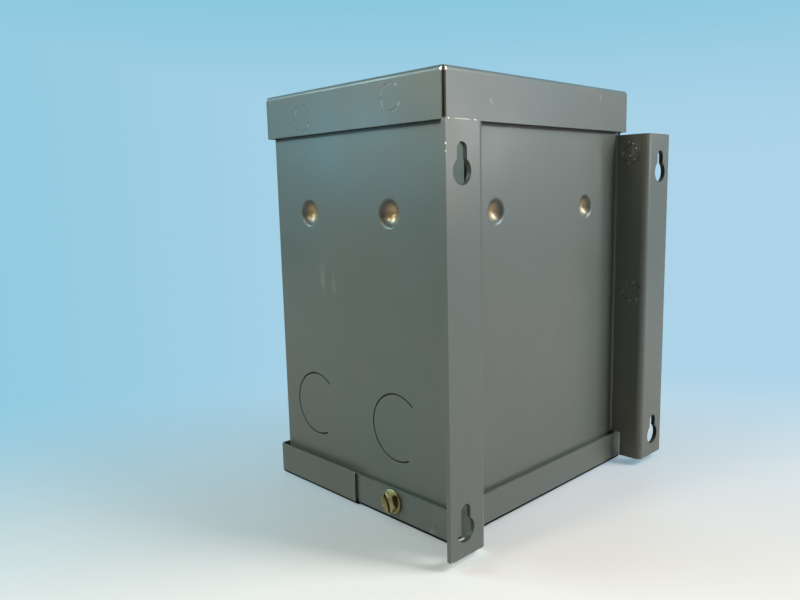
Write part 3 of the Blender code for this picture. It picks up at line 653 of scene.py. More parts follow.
@dataclass
class Film:
    """The enamel on one piece while its marks are laid on, one over another."""

    enamel: Enamel
    shader: Shader
    colour: Given
    rough: Given
    relief: Given
    ragged: Given
    metal: Given = 0.0

    def _tint(self, mask: Given, colour: Colour) -> None:
        """Lays a colour over the enamel."""
        self.colour = self.shader.mix(mask, self.colour, colour)

    def _dull(self, mask: Given, amount: float) -> None:
        """Makes the enamel rougher, or smoother by a negative amount."""
        self.rough = self.shader.math("ADD", self.rough, self.shader.times(mask, amount))

    def _open(self, mask: Given, amount: float) -> None:
        """Lets the steel show through."""
        self.metal = self.shader.math("MAXIMUM", self.metal, self.shader.times(mask, amount))

    def lay(self, mark: Mark) -> None:
        """Lays one mark on.

        Args:
            mark: The mark.
        """
        enamel, shader, radius = self.enamel, self.shader, mark.radius
        away = shader.vector("DISTANCE", shader.place, mark.place)
        worn = shader.math("ADD", away, shader.times(self.ragged, radius * enamel.ragged_share))
        match mark.kind:
            case MarkKind.WALL:
                # Painted shade on the hole's walls, within the sheet's thickness.
                near = shader.fall(away, radius, radius + enamel.hole_shade_fade)
                off = shader.off(shader.along(Axis.Y), mark.place[1])
                mask = shader.times(near, shader.fall(off, *enamel.hole_shade_half, mark.strength))
                self._tint(mask, enamel.painted_hole_shade)
                self._dull(mask, 0.35)
            case MarkKind.EDGE:
                # Worn paint and a painted highlight along a top edge.
                near = shader.fade(worn, radius, enamel.edge_fade, mark.strength)
                off = shader.off(shader.along(Axis.Z), mark.place[2])
                self._tint(shader.times(near, shader.fall(off, *enamel.edge_half)), enamel.worn_edge_highlight)
            case MarkKind.THIN:
                mask = shader.fade(away, radius, enamel.thin_fade, mark.strength)
                self._tint(mask, enamel.thin)
                self._open(mask, 0.75)
                self._dull(mask, -0.12)
            case MarkKind.CHIP:
                mask = shader.fade(worn, radius, enamel.chip_fade)
                self._tint(mask, enamel.bare)
                self._open(mask, mark.strength)
            case MarkKind.RING:
                line = shader.fall(shader.off(away, radius), *enamel.ring_half, mark.strength)
                broken = shader.times(line, shader.patches(enamel.ring_gaps))
                fused = shader.times(line, shader.patches(enamel.ring_fused))
                self._tint(shader.times(broken, 0.60), enamel.weld_dark)
                self._tint(shader.times(fused, 0.55), enamel.weld_pale)
                self.relief = shader.math("SUBTRACT", self.relief, shader.times(broken, 4.0))
            case MarkKind.SCUFF:
                spot = shader.fade(worn, radius, enamel.scuff_fade, mark.strength)
                mask = shader.times(spot, shader.patches(enamel.streaks))
                self._tint(shader.times(mask, 0.45), enamel.scuffed)
                self._dull(mask, 0.15)
            case MarkKind.DOT:
                self._tint(shader.fade(worn, radius, enamel.dot_fade, mark.strength), enamel.pit)

    def paint_skirt_shadow(self, level: float, half_width: float) -> None:
        """Paints the cap skirt's shadow as a dark, dull band on the wall under its lower edge.

        Args:
            level: Height of the skirt's edge.
            half_width: Half the width of the painted shadow band.
        """
        enamel, shader = self.enamel, self.shader
        across = shader.math("ABSOLUTE", shader.along(Axis.X))
        inside = shader.fall(across, half_width - enamel.skirt_shadow_fade, half_width, enamel.skirt_shadow_share)
        above = shader.band(shader.along(Axis.Z), *(level + rise for rise in enamel.skirt_shadow_rise))
        mask = shader.times(inside, above)
        # Painted shadow: dark colour and duller gloss under the skirt.
        self._tint(mask, enamel.painted_skirt_shadow)
        self._dull(mask, 0.4)

    def paint_contact_shadow(self, contact_shadow_height: float) -> None:
        """Paints a contact shadow at the foot of a piece that stands on the ground, and takes its gloss away.

        Args:
            contact_shadow_height: Height of the painted contact shadow.
        """
        enamel, shader = self.enamel, self.shader
        height, start = shader.along(Axis.Z), contact_shadow_height * enamel.contact_shadow_start
        # Painted contact shadow: dark colour, with gloss and coat taken away near the ground.
        self._tint(shader.fall(height, start, contact_shadow_height), enamel.painted_contact_shadow)
        shader.set("Specular IOR Level", shader.band(height, start, contact_shadow_height, 0.0, enamel.specular))
        shader.set("Coat Weight", shader.band(height, start, contact_shadow_height, 0.0, enamel.coat))


@dataclass(frozen=True)
class Metal:
    """A bare or plated metal with tool marks and a cloudy film."""

    colour: Colour
    film: Colour
    roughness: float
    grain: float = 900.0
    stretch: Point3 = (1, 1, 1)
    drift: Point2 = (-0.08, 0.12)
    relief: float = 0.02 * MM
    clouds: Pattern = Pattern(260, 3, 0.35, 0.68)

    def material(self, name: str) -> Material:
        """Returns the metal under a name.

        Args:
            name: Name of the material.

        Returns:
            The material.
        """
        shader = Shader(name)
        grain = Pattern(self.grain, 2, stretch=self.stretch)
        shader.set("Metallic", 1.0)
        shader.set("Base Color", shader.mix(shader.patches(self.clouds), self.colour, self.film))
        shader.set("Roughness", shader.patches(grain, *(self.roughness + drift for drift in self.drift)))
        shader.set("Normal", shader.bump(shader.noise(grain), self.relief, 0.5))
        return shader.material


@dataclass(frozen=True)
class Matter:
    """A material that isn't metal, with mottling and a fine relief."""

    colour: Colour
    second: Colour
    roughness: float
    scale: float = 120.0
    relief: float = 0.05 * MM
    stretch: Point3 = (1, 1, 1)
    drift: Point2 = (-0.06, 0.08)
    finer: float = 6.0

    def material(self, name: str) -> Material:
        """Returns the material under a name.

        Args:
            name: Name of the material.

        Returns:
            The material.
        """
        shader = Shader(name)
        mottle = Pattern(self.scale, 4, 0.35, 0.65, self.stretch)
        fine = Pattern(self.scale * self.finer, 2, stretch=self.stretch)
        shader.set("Base Color", shader.mix(shader.patches(mottle), self.colour, self.second))
        shader.set("Roughness", shader.patches(fine, *(self.roughness + drift for drift in self.drift)))
        shader.set("Normal", shader.bump(shader.noise(fine), self.relief, 0.6))
        return shader.material


@dataclass(frozen=True)
class Dimple:
    """A dimple punched into the sheet to key the potting."""

    radius: float = 6.5 * MM
    depth: float = 3.2 * MM
    lip: float = 1.5 * MM
    boss_lip: float = 0.6 * MM
    boss_neck: float = 0.9
    flare: float = 1.6 * MM
    flare_deg: float = 5.0
    clear: float = 3.0 * MM
    segments: int = 40
    bowl_steps: int = 10
    lip_steps: int = 6

    @property
    def slope(self) -> float:
        """Angle of the bowl where it meets the face."""
        return 2 * math.atan2(self.depth, self.radius)

    def _bowl(self, grown: float, lip: float) -> list[Point2]:
        """Returns the profile of the punch's round tip.

        Args:
            grown: How much larger than the hollow it is.
            lip: Radius of the round where it meets the face.

        Returns:
            (radius, height) points, the face at height 0.
        """
        ball = self.radius / math.sin(self.slope) - lip
        centre, reach = ball - self.depth, ball + grown
        points = [(0.0, centre - reach)]
        for step in range(1, self.bowl_steps + 1):
            angle = self.slope * step / self.bowl_steps
            points.append((reach * math.sin(angle), centre - reach * math.cos(angle)))
        return points

    def _rim(self) -> list[Point2]:
        """Returns the profile of the round lip and of the flare that leaves the face.

        Returns:
            (radius, height) points, the face at height 0.
        """
        points = []
        flare = math.radians(self.flare_deg)
        for step in range(1, self.lip_steps + 1):
            angle = self.slope + (flare - self.slope) * step / self.lip_steps
            points.append((self.radius - self.lip * math.sin(angle), -self.lip * (1 - math.cos(angle))))
        outer, height = points[-1][0] + self.flare, points[-1][1]
        return [*points, (outer, height + self.flare * math.tan(flare)), (outer, self.clear)]

    def press(self, piece: Workpiece, sheet: float, place: Point3, outward: Point3) -> None:
        """Presses the dimple into a sheet.

        Args:
            piece: The sheet.
            sheet: Its thickness.
            place: The dimple's centre on the outer face.
            outward: Direction that the outer face looks in.
        """
        matrix = pointing(outward, place)
        boss = self._bowl(sheet, self.boss_lip)
        boss.append((boss[-1][0] * self.boss_neck, -sheet / 2))
        piece.join(turned(boss, self.segments), matrix)
        piece.cut(turned(self._bowl(0.0, self.lip) + self._rim(), self.segments), matrix)


@dataclass(frozen=True)
class Tray:
    """A sheet folded up on four sides: the pan, the cover or, upside down, the cap."""

    half_x: float
    half_y: float
    sheet: float
    bend: float
    depth: float
    level: float = 0.0
    up: int = 1
    relief: float = 0.1 * MM
    bend_steps: int = 8

    def _block(self, inset: float, radius: float, end: float) -> Mesh:
        """Returns a block with round edges along its floor.

        Args:
            inset: How far it is inside the tray's outer faces.
            radius: Radius of the round edges.
            end: How far it reaches from the tray's outer floor.

        Returns:
            The block's mesh.
        """
        x, y = self.half_x - inset, self.half_y - inset
        floor = self.level + self.up * inset
        low, high = sorted((floor, self.level + self.up * end))
        mesh = block((-x, -y, low), (x, y, high))
        edges = [e for e in mesh.edges if all(abs(v.co.z - floor) < FIT / 2 for v in e.verts)]
        steps = self.bend_steps
        bmesh.ops.bevel(mesh, geom=edges, offset=radius, segments=steps, profile=0.5, affect="EDGES")
        return mesh

    def folded(self, name: str, centre_y: float) -> Workpiece:
        """Returns the tray as a workpiece, its corners still closed.

        Args:
            name: Name of the piece.
            centre_y: Where the case's centre line stands.

        Returns:
            The workpiece.
        """
        piece = Workpiece(name, self._block(0.0, self.bend + self.sheet, self.depth), centre_y)
        piece.cut(self._block(self.sheet, self.bend, self.depth + THROUGH))
        return piece

    def open_corners(self, piece: Workpiece, corners: Iterable[Point2]) -> None:
        """Opens the corners where two skirts meet.

        Args:
            piece: The tray's workpiece.
            corners: The corners, as signs of x and y.
        """
        reach = self.sheet + self.relief
        low, high = sorted((self.level - self.up * THROUGH, self.level + self.up * (self.depth + THROUGH)))
        for sx, sy in corners:
            xs = sorted((sx * (self.half_x - reach), sx * (self.half_x + THROUGH)))
            ys = sorted((sy * (self.half_y - reach), sy * (self.half_y + THROUGH)))
            piece.cut(block((xs[0], ys[0], low), (xs[1], ys[1], high)))


@dataclass
class Sheets:
    """The folded sheets of the case: wrap, mounting back, cap, pan and wiring cover."""

    centre_y: float
    enamel: Enamel
    height: float = 182.0 * MM
    half_width: float = 62.4 * MM
    half_depth: float = 54.1 * MM
    sheet: float = 1.2 * MM
    wrap_bend: float = 0.8 * MM
    weld_lap: float = 9.5 * MM
    wall_bottom: float = 2.8 * MM
    back_sheet: float = 2.0 * MM
    back_bend: float = 1.0 * MM
    standoff: float = 16.2 * MM
    flange_span: float = 158.4 * MM
    flange_bottom: float = 3.6 * MM
    flange_top: float = 161.4 * MM
    notch_gap: float = 2.6 * MM
    keyhole_edge: float = 8.2 * MM
    keyhole_entry: float = 4.8 * MM
    keyhole_slot: float = 5.2 * MM
    keyhole_drop: float = 7.4 * MM
    keyhole_seats: tuple[float, float] = (151.2 * MM, 21.4 * MM)
    # Painted shade in the keyholes: how far below each seat it centres, and its radius.
    keyhole_shade_drop: float = 4.8 * MM
    keyhole_shade_radius: float = 7.6 * MM
    skirt_gap: float = 1.2 * MM
    cap_skirt: float = 19.1 * MM
    cap_bend: float = 1.0 * MM
    cap_chip_drop: float = 1.7 * MM
    # Painted skirt shadow: on the back it stops this far short of the webs, and on the wrap it spans the
    # whole width.
    skirt_shadow_gap: float = 1.0 * MM
    skirt_shadow_everywhere: float = 1.0
    pan_skirt: float = 14.4 * MM
    pan_bend: float = 1.0 * MM
    split_y: float = 1.2 * MM
    split_gap: float = 0.5 * MM
    tongue_lap: float = 9.0 * MM
    tongue_bottom: float = 3.0 * MM
    cover_sheet: float = 0.9 * MM
    cover_bend: float = 1.6 * MM
    cover_rise: float = 1.0 * MM
    panel_width: float = 116.0 * MM
    panel_top: float = 66.0 * MM
    panel_corner: float = 3.0 * MM
    opening_width: float = 100.0 * MM
    opening_top: float = 51.0 * MM
    dimple: Dimple = Dimple()
    rear_dimple: Dimple = Dimple(5.7 * MM, 3.0 * MM)
    dimple_z: float = 128.8 * MM
    dimple_tint: float = 5.2 * MM
    dimple_tint_depth: float = 3.0 * MM
    side_dimples: tuple[float, float] = (-28.5 * MM, 23.9 * MM)
    rear_dimple_x: float = 32.5 * MM
    knockout_radius: float = 14.7 * MM
    knockout_slit: float = 0.6 * MM
    knockout_z: float = 40.3 * MM
    knockout_arc_deg: Point2 = (48, 298)
    knockouts: tuple[float, float] = (-28.4 * MM, 25.2 * MM)
    screw_hole: float = 2.6 * MM
    pan_screw: Point2 = (24.2 * MM, 8.8 * MM)
    cover_screw_z: float = 58.0 * MM
    # Height of the painted contact shadow at the foot of the pan and cover.
    contact_shadow_height: float = 2.1 * MM
    thin_edge: float = 0.12 * MM
    thick_edge: float = 0.22 * MM
    cover_edge: float = 0.10 * MM

    def __post_init__(self) -> None:
        """Works out the planes that several sheets share."""
        self.mount_y = self.half_depth + self.standoff
        self.wall_top = self.height - self.sheet - FIT
        self.lip_z = self.height - self.cap_skirt
        self.pan_x = self.half_width + self.skirt_gap + self.sheet
        self.pan_y = self.half_depth + self.skirt_gap + self.sheet
        self.cover_x = self.pan_x + FIT + self.cover_sheet
        self.cover_y = self.half_depth + FIT + self.cover_sheet
        self.cover_depth = self.pan_skirt + self.cover_rise
        self.web_out = self.half_width - self.sheet - FIT

    def _hole(self, piece: Workpiece, direction: Point3, place: Point3) -> None:
        """Drills a screw hole through a wall."""
        outline = [(self.screw_hole, -THROUGH), (self.screw_hole, THROUGH)]
        piece.cut(turned(outline, 24), pointing(direction, place))

    def _knockout(self, centre: float, side: int) -> Mesh:
        """Returns the slit round a knockout, open at its tab.

        Args:
            centre: Place of its middle along the wall.
            side: 1 for the right wall, -1 for the left one.

        Returns:
            The mesh to cut out.
        """
        middle = (centre, self.knockout_z)
        start, end = self.knockout_arc_deg
        outer = arc(middle, self.knockout_radius, start, end, 56)
        inner = arc(middle, self.knockout_radius - self.knockout_slit, start, end, 56)
        low, high = sorted((side * (self.half_width + THROUGH), side * (self.half_width - THROUGH)))
        return prism(outer + inner[::-1], low, high, Axis.X)

    def _mark(self, kind: MarkKind, place: Point3, radius: float, strength: float = 1.0) -> Mark:
        """Returns a mark whose place is measured from the case's centre line."""
        return Mark(kind, (place[0], place[1] + self.centre_y, place[2]), radius, strength)

    def _spots(
        self, kind: MarkKind, axis: Axis, level: float, *spots: tuple[float, float, float, float]
    ) -> list[Mark]:
        """Returns marks of one kind on one face.

        Args:
            kind: What they look like.
            axis: The axis that the face looks along.
            level: Where the face stands on it.
            *spots: Place across the face, height and radius in millimetres, and the strength.

        Returns:
            The marks.
        """
        marks = []
        for across, z, radius, strength in spots:
            x, y = (level, across * MM) if axis is Axis.X else (across * MM, level)
            marks.append(self._mark(kind, (x, y, z * MM), radius * MM, strength))
        return marks

    def wrap(self) -> Piece:
        """Returns the front and both side walls.

        Returns:
            The finished sheet.
        """
        side = self.half_width - self.sheet / 2
        front = -(self.half_depth - self.sheet / 2)
        rear = self.half_depth + self.weld_lap
        path = [(side, rear), (side, front), (-side, front), (-side, rear)]
        outline = folded_outline(path, self.sheet, self.wrap_bend)
        piece = Workpiece("case_shell", prism(outline, self.wall_bottom, self.wall_top), self.centre_y)
        wide, far = self.half_width + THROUGH, rear + THROUGH
        piece.cut(block((-wide, self.half_depth, self.flange_top), (wide, far, self.height)))
        piece.cut(block((-wide, self.half_depth, -THROUGH), (wide, far, self.cover_depth)))
        half = self.opening_width / 2
        piece.cut(block((-half, front - THROUGH, -THROUGH), (half, front + THROUGH, self.opening_top)))
        marks = [
            *self._spots(MarkKind.SCUFF, Axis.X, self.half_width, (-17, 99, 9, 0.5)),
            *self._spots(MarkKind.SCUFF, Axis.X, -self.half_width, (8, 74, 12, 0.4)),
        ]
        for sign in (-1, 1):
            wall = sign * self.half_width
            for y in self.side_dimples:
                self.dimple.press(piece, self.sheet, (wall, y, self.dimple_z), (sign, 0, 0))
                bottom = wall - sign * self.dimple_tint_depth
                marks.append(self._mark(MarkKind.THIN, (bottom, y, self.dimple_z), self.dimple_tint, 0.75))
            place = (sign * self.rear_dimple_x, -self.half_depth, self.dimple_z)
            self.dimple.press(piece, self.sheet, place, (0, -1, 0))
            for y in self.knockouts:
                piece.cut(self._knockout(y, sign))
            self._hole(piece, (sign, 0, 0), (wall, *self.pan_screw))
        self._hole(piece, (0, 1, 0), (0, front, self.cover_screw_z))
        # The lip paints the cap skirt's shadow on the wall under it.
        material = self.enamel.material("enamel_wrap", marks, lip=(self.lip_z, self.skirt_shadow_everywhere))
        return piece.finish(material, self.thin_edge)

    def _keyhole(self, x: float, seat: float) -> list[Point2]:
        """Returns the outline of a keyhole: a wide entry and the slot above it.

        Args:
            x: Its place across the back.
            seat: Height of the middle of the slot's round end.

        Returns:
            The closed outline in (x, z).
        """
        half = self.keyhole_slot / 2
        meet = math.degrees(math.asin(half / self.keyhole_entry))
        entry = arc((x, seat - self.keyhole_drop), self.keyhole_entry, 90 + meet, 450 - meet, 40)
        return entry + arc((x, seat), half, 0, 180, 16)

    def _back_marks(self, edge: float, flange: float) -> list[Mark]:
        """Returns the marks on the back: weld rings on the webs, chips, and painted shade on the keyholes'
        walls.

        Args:
            edge: Half the span of the flanges.
            flange: Middle of the flanges' sheet.

        Returns:
            The marks, in the order that they lie on each other.
        """
        web_x = self.web_out - self.back_sheet
        chips = [
            (edge, 153.0 * MM, 0.4 * MM),
            (edge, 150.4 * MM, 0.3 * MM),
            (edge - 1.6 * MM, self.flange_top, 0.5 * MM),
            (edge - 15.2 * MM, self.flange_top, 0.4 * MM),
            (edge - 0.4 * MM, self.flange_bottom, 0.6 * MM),
            (-edge, 100.0 * MM, 0.5 * MM),
        ]
        specks = (
            (60.6, 158.0, 0.35, 0.3),
            (62.8, 157.0, 0.45, 0.3),
            (64.3, 154.8, 0.35, 0.3),
            (61.4, 151.6, 0.40, 0.3),
            (63.6, 149.8, 0.30, 0.3),
        )
        marks = [
            *self._spots(MarkKind.RING, Axis.X, -web_x, (62.0, 152.2, 4.2, 1.0), (63.7, 87.1, 4.6, 1.0)),
            *self._spots(MarkKind.RING, Axis.X, web_x, (62.5, 150.0, 4.2, 0.8), (62.5, 86.0, 4.6, 0.8)),
            *self._spots(MarkKind.DOT, Axis.X, -web_x, (57.8, 121.1, 0.8, 0.8)),
            *self._spots(MarkKind.SCUFF, Axis.X, -web_x, (61.6, 9.4, 3.0, 0.8), (61.5, 154.5, 5.0, 1.0)),
            *(self._mark(MarkKind.CHIP, (x, self.mount_y, z), radius) for x, z, radius in chips),
            # Worn paint and a painted highlight along the near flange's top edge.
            self._mark(MarkKind.EDGE, (edge - 8.5 * MM, self.mount_y, self.flange_top), 5.5 * MM, 0.7),
            *self._spots(MarkKind.CHIP, Axis.X, -web_x, *specks),
        ]
        bottom = self.half_depth - self.dimple_tint_depth
        for sign in (-1, 1):
            place = (sign * self.rear_dimple_x, bottom, self.dimple_z)
            marks.append(self._mark(MarkKind.THIN, place, self.dimple_tint, 0.6))
            # Painted shade in each keyhole's walls.
            for seat in self.keyhole_seats:
                place = (sign * (edge - self.keyhole_edge), flange, seat - self.keyhole_shade_drop)
                marks.append(self._mark(MarkKind.WALL, place, self.keyhole_shade_radius))
        return marks

    def back(self) -> Piece:
        """Returns the rear wall with its webs and flanges.

        Returns:
            The finished sheet.
        """
        wall = self.half_depth - self.back_sheet / 2
        flange = self.mount_y - self.back_sheet / 2
        web = self.web_out - self.back_sheet / 2
        edge = self.flange_span / 2
        path = [(-edge, flange), (-web, flange), (-web, wall), (web, wall), (web, flange), (edge, flange)]
        outline = folded_outline(path, self.back_sheet, self.back_bend)
        piece = Workpiece("mounting_frame", prism(outline, self.wall_bottom, self.wall_top), self.centre_y)
        wide, far = edge + THROUGH, self.mount_y + THROUGH
        notch = (wide, self.pan_y + self.notch_gap, self.cover_depth)
        piece.cut(block((-wide, self.half_depth, self.flange_top), (wide, far, self.height)))
        piece.cut(block((-wide, self.half_depth, -THROUGH), notch))
        piece.cut(block((-wide, self.half_depth, -THROUGH), (wide, far, self.flange_bottom)))
        near = flange - self.back_sheet / 2 - THROUGH
        for sign in (-1, 1):
            for seat in self.keyhole_seats:
                keyhole = self._keyhole(sign * (edge - self.keyhole_edge), seat)
                piece.cut(prism(keyhole, near, far, Axis.Y))
            place = (sign * self.rear_dimple_x, self.half_depth, self.dimple_z)
            self.rear_dimple.press(piece, self.back_sheet, place, (0, 1, 0))
        # The lip paints the cap skirt's shadow on the rear wall, short of the webs.
        lip = (self.lip_z, self.web_out - self.back_sheet - self.skirt_shadow_gap)
        material = self.enamel.material("enamel_back", self._back_marks(edge, flange), lip=lip)
        return piece.finish(material, self.thick_edge)

    def cap(self) -> Piece:
        """Returns the top cap.

        Returns:
            The finished sheet.
        """
        x, y = self.pan_x, self.pan_y
        tray = Tray(x, y, self.sheet, self.cap_bend, self.cap_skirt, self.height, -1)
        piece = tray.folded("cap_shell", self.centre_y)
        tray.open_corners(piece, [(-1, -1), (-1, 1), (1, -1), (1, 1)])
        top = self.height - self.cap_chip_drop
        marks = [
            *self._spots(MarkKind.RING, Axis.X, x, (-28.2, 170.0, 5.6, 0.8), (28.8, 173.3, 5.2, 1.0)),
            *self._spots(MarkKind.RING, Axis.X, -x, (-29.0, 171.0, 5.5, 0.8), (28.0, 171.0, 5.5, 0.8)),
            *self._spots(MarkKind.DOT, Axis.X, x, (-32.2, 175.4, 0.8, 0.9), (28.4, 178.4, 0.7, 0.8)),
            *self._spots(MarkKind.SCUFF, Axis.Y, y, (37.0, 170.8, 2.4, 1.0), (-38.8, 177.0, 2.4, 0.7)),
            *self._spots(MarkKind.DOT, Axis.Y, y, (-32.2, 173.9, 0.9, 0.7)),
            self._mark(MarkKind.CHIP, (x - 0.3 * MM, y - 1.3 * MM, top), 0.8 * MM),
            self._mark(MarkKind.CHIP, (x - 1.3 * MM, y - 0.3 * MM, top), 0.8 * MM),
            self._mark(MarkKind.CHIP, (-x, y - 1.0 * MM, top), 0.6 * MM),
            self._mark(MarkKind.CHIP, (x, -y + 1.0 * MM, top), 0.6 * MM),
        ]
        return piece.finish(self.enamel.material("enamel_cap", marks), self.thin_edge)

    def pan(self) -> Piece:
        """Returns the rear half of the bottom.

        Returns:
            The finished sheet.
        """
        tray = Tray(self.pan_x, self.pan_y, self.sheet, self.pan_bend, self.pan_skirt)
        piece = tray.folded("pan_shell", self.centre_y)
        wide, front = self.pan_x + THROUGH, -(self.pan_y + THROUGH)
        lap, split = self.split_y - self.tongue_lap, self.split_y + self.split_gap
        piece.cut(block((-wide, front, -THROUGH), (wide, lap, self.pan_skirt + THROUGH)))
        piece.cut(block((-wide, front - THROUGH, -THROUGH), (wide, split, self.tongue_bottom)))
        tray.open_corners(piece, [(-1, 1), (1, 1)])
        for sign in (-1, 1):
            self._hole(piece, (sign, 0, 0), (sign * self.pan_x, *self.pan_screw))
        marks = [
            *self._spots(MarkKind.DOT, Axis.X, self.pan_x, (49.0, 6.0, 0.6, 1.0)),
            *self._spots(MarkKind.SCUFF, Axis.X, self.pan_x, (46.0, 2.5, 2.5, 0.8)),
        ]
        return piece.finish(self.enamel.material("enamel_pan", marks, self.contact_shadow_height), self.thin_edge)

    def cover(self) -> Piece:
        """Returns the front half of the bottom with the panel over the wiring opening.

        Returns:
            The finished sheet.
        """
        sheet, depth = self.cover_sheet, self.cover_depth
        tray = Tray(self.cover_x, self.cover_y, sheet, self.cover_bend, depth)
        piece = tray.folded("cover_shell", self.centre_y)
        wide, far = self.cover_x + THROUGH, self.cover_y + THROUGH
        piece.cut(block((-wide, self.split_y, -THROUGH), (wide, far, depth + THROUGH)))
        tray.open_corners(piece, [(-1, -1), (1, -1)])
        half, radius = self.panel_width / 2, self.panel_corner
        inner, top = half - radius, self.panel_top - radius
        outline = [(-half, depth / 2), (half, depth / 2), *arc((inner, top), radius, 0, 90, 10)]
        outline += arc((-inner, top), radius, 90, 180, 10)
        piece.join(prism(outline, -self.cover_y, -self.cover_y + sheet, Axis.Y))
        self._hole(piece, (0, 1, 0), (0, -self.cover_y, self.cover_screw_z))
        marks = [
            self._mark(MarkKind.CHIP, (self.cover_x, self.split_y, depth), 0.5 * MM),
            *self._spots(MarkKind.SCUFF, Axis.Y, -self.cover_y, (20, 40, 9, 0.5)),
        ]
        return piece.finish(self.enamel.material("enamel_cover", marks, self.contact_shadow_height), self.cover_edge)

    def build(self) -> None:
        """Builds every sheet and puts it on the case."""
        folds = {
            "case_wrap": self.wrap,
            "mounting_back": self.back,
            "top_cap": self.cap,
            "bottom_pan": self.pan,
            "wiring_cover": self.cover,
        }
        for node, fold in folds.items():
            settle(fold(), [node])


class NodeTree(Nodes):
    """Builds a Geometry Nodes tree with named inputs and runs it on a blank."""

    def __init__(self, name: str, **inputs: str) -> None:
        """Starts a tree.

        Args:
            name: Name of the tree.
            **inputs: Kind of each input, its name with _ for each space.
        """
        super().__init__(bpy.data.node_groups.new(name, "GeometryNodeTree"))
        sockets = self.tree.interface
        sockets.new_socket("Geometry", in_out="OUTPUT", socket_type="NodeSocketGeometry")
        self.identifiers: dict[str, str] = {}
        for key, kind in inputs.items():
            label = key.replace("_", " ")
            made = sockets.new_socket(label, in_out="INPUT", socket_type=f"NodeSocket{kind}")
            self.identifiers[key] = made.identifier
        self.entry = self.add("NodeGroupInput").outputs

    def placed(self, points: Given, instance: Given, rotation: Given = (0.0, 0.0, 0.0)) -> Socket:
        """Returns copies of one shape set on points."""
        inputs = {"Points": points, "Instance": instance, "Rotation": rotation}
        return self.add("GeometryNodeInstanceOnPoints", inputs).outputs["Instances"]

    def tube(self, path: Given, radius: Given, sides: Given) -> Socket:
        """Returns a closed round tube along a path of edges.

        Args:
            path: Mesh of edges that it follows.
            radius: Its radius.
            sides: Faces round it.

        Returns:
            The tube's mesh.
        """
        curve = self.add("GeometryNodeMeshToCurve", {"Mesh": path}).outputs["Curve"]
        ring = self.add("GeometryNodeCurvePrimitiveCircle", {"Radius": radius, "Resolution": sides})
        inputs = {"Curve": curve, "Profile Curve": ring.outputs["Curve"], "Fill Caps": True}
        return self.add("GeometryNodeCurveToMesh", inputs).outputs["Mesh"]

    def close(self, geometry: Socket) -> None:
        """Ends the tree in Realize Instances and Set Material.

        Args:
            geometry: What the tree has built.
        """
        real = self.add("GeometryNodeRealizeInstances", {"Geometry": geometry}).outputs["Geometry"]
        painted = self.add("GeometryNodeSetMaterial", {"Geometry": real, "Material": self.entry["Material"]})
        self.add("NodeGroupOutput", {"Geometry": painted.outputs["Geometry"]})

    def run(self, name: str, blank: Mesh, **given: object) -> Piece:
        """Runs the tree on a blank and returns the plain piece.

        Args:
            name: Name of the piece.
            blank: Mesh that the tree starts from.
            **given: Values of the inputs, their names with _ for each space.

        Returns:
            The plain object.
        """
        target = link_mesh(f"{name}_blank", blank)
        step = target.modifiers.new(self.tree.name, "NODES")
        step.node_group = self.tree
        for key, value in given.items():
            step[self.identifiers[key]] = value
        made = bake(target, name)
        made.data.shade_smooth()
        made.data.set_sharp_from_angle(angle=math.radians(35))
        return made


def repeat_tree() -> NodeTree:
    """Returns the tree that sets a fastener on every point, turned to the point's facing.

    Returns:
        The tree, ready to run.
    """
    tree = NodeTree("fasteners_on_points", Points="Geometry", Fastener="Object", Material="Material")
    fastener = tree.add("GeometryNodeObjectInfo", {"Object": tree.entry["Fastener"]}).outputs["Geometry"]
    named = "GeometryNodeInputNamedAttribute"
    facing = tree.add(named, {"Name": "facing"}, data_type="FLOAT_VECTOR").outputs["Attribute"]
    turn = tree.add(named, {"Name": "turn"}, data_type="FLOAT").outputs["Attribute"]
    spin = tree.add("FunctionNodeAxisAngleToRotation", {"Axis": Axis.Z.value, "Angle": turn})
    aim = tree.add("FunctionNodeAlignRotationToVector", {"Vector": facing}, axis="Z")
    inputs = {"Rotation": aim.outputs["Rotation"], "Rotate By": spin.outputs["Rotation"]}
    both = tree.add("FunctionNodeRotateRotation", inputs, rotation_space="LOCAL").outputs["Rotation"]
    tree.close(tree.placed(tree.entry["Points"], fastener, both))
    return tree


def stack_tree() -> NodeTree:
    """Returns the tree that stacks thin sheets along Y.

    Returns:
        The tree, ready to run.
    """
    tree = NodeTree("sheets_in_a_stack", Sheet="Geometry", Count="Int", Pitch="Float", Material="Material")
    offset = tree.add("ShaderNodeCombineXYZ", {"Y": tree.entry["Pitch"]}).outputs["Vector"]
    line = tree.add("GeometryNodeMeshLine", {"Count": tree.entry["Count"], "Offset": offset})
    tree.close(tree.placed(line.outputs["Mesh"], tree.entry["Sheet"]))
    return tree


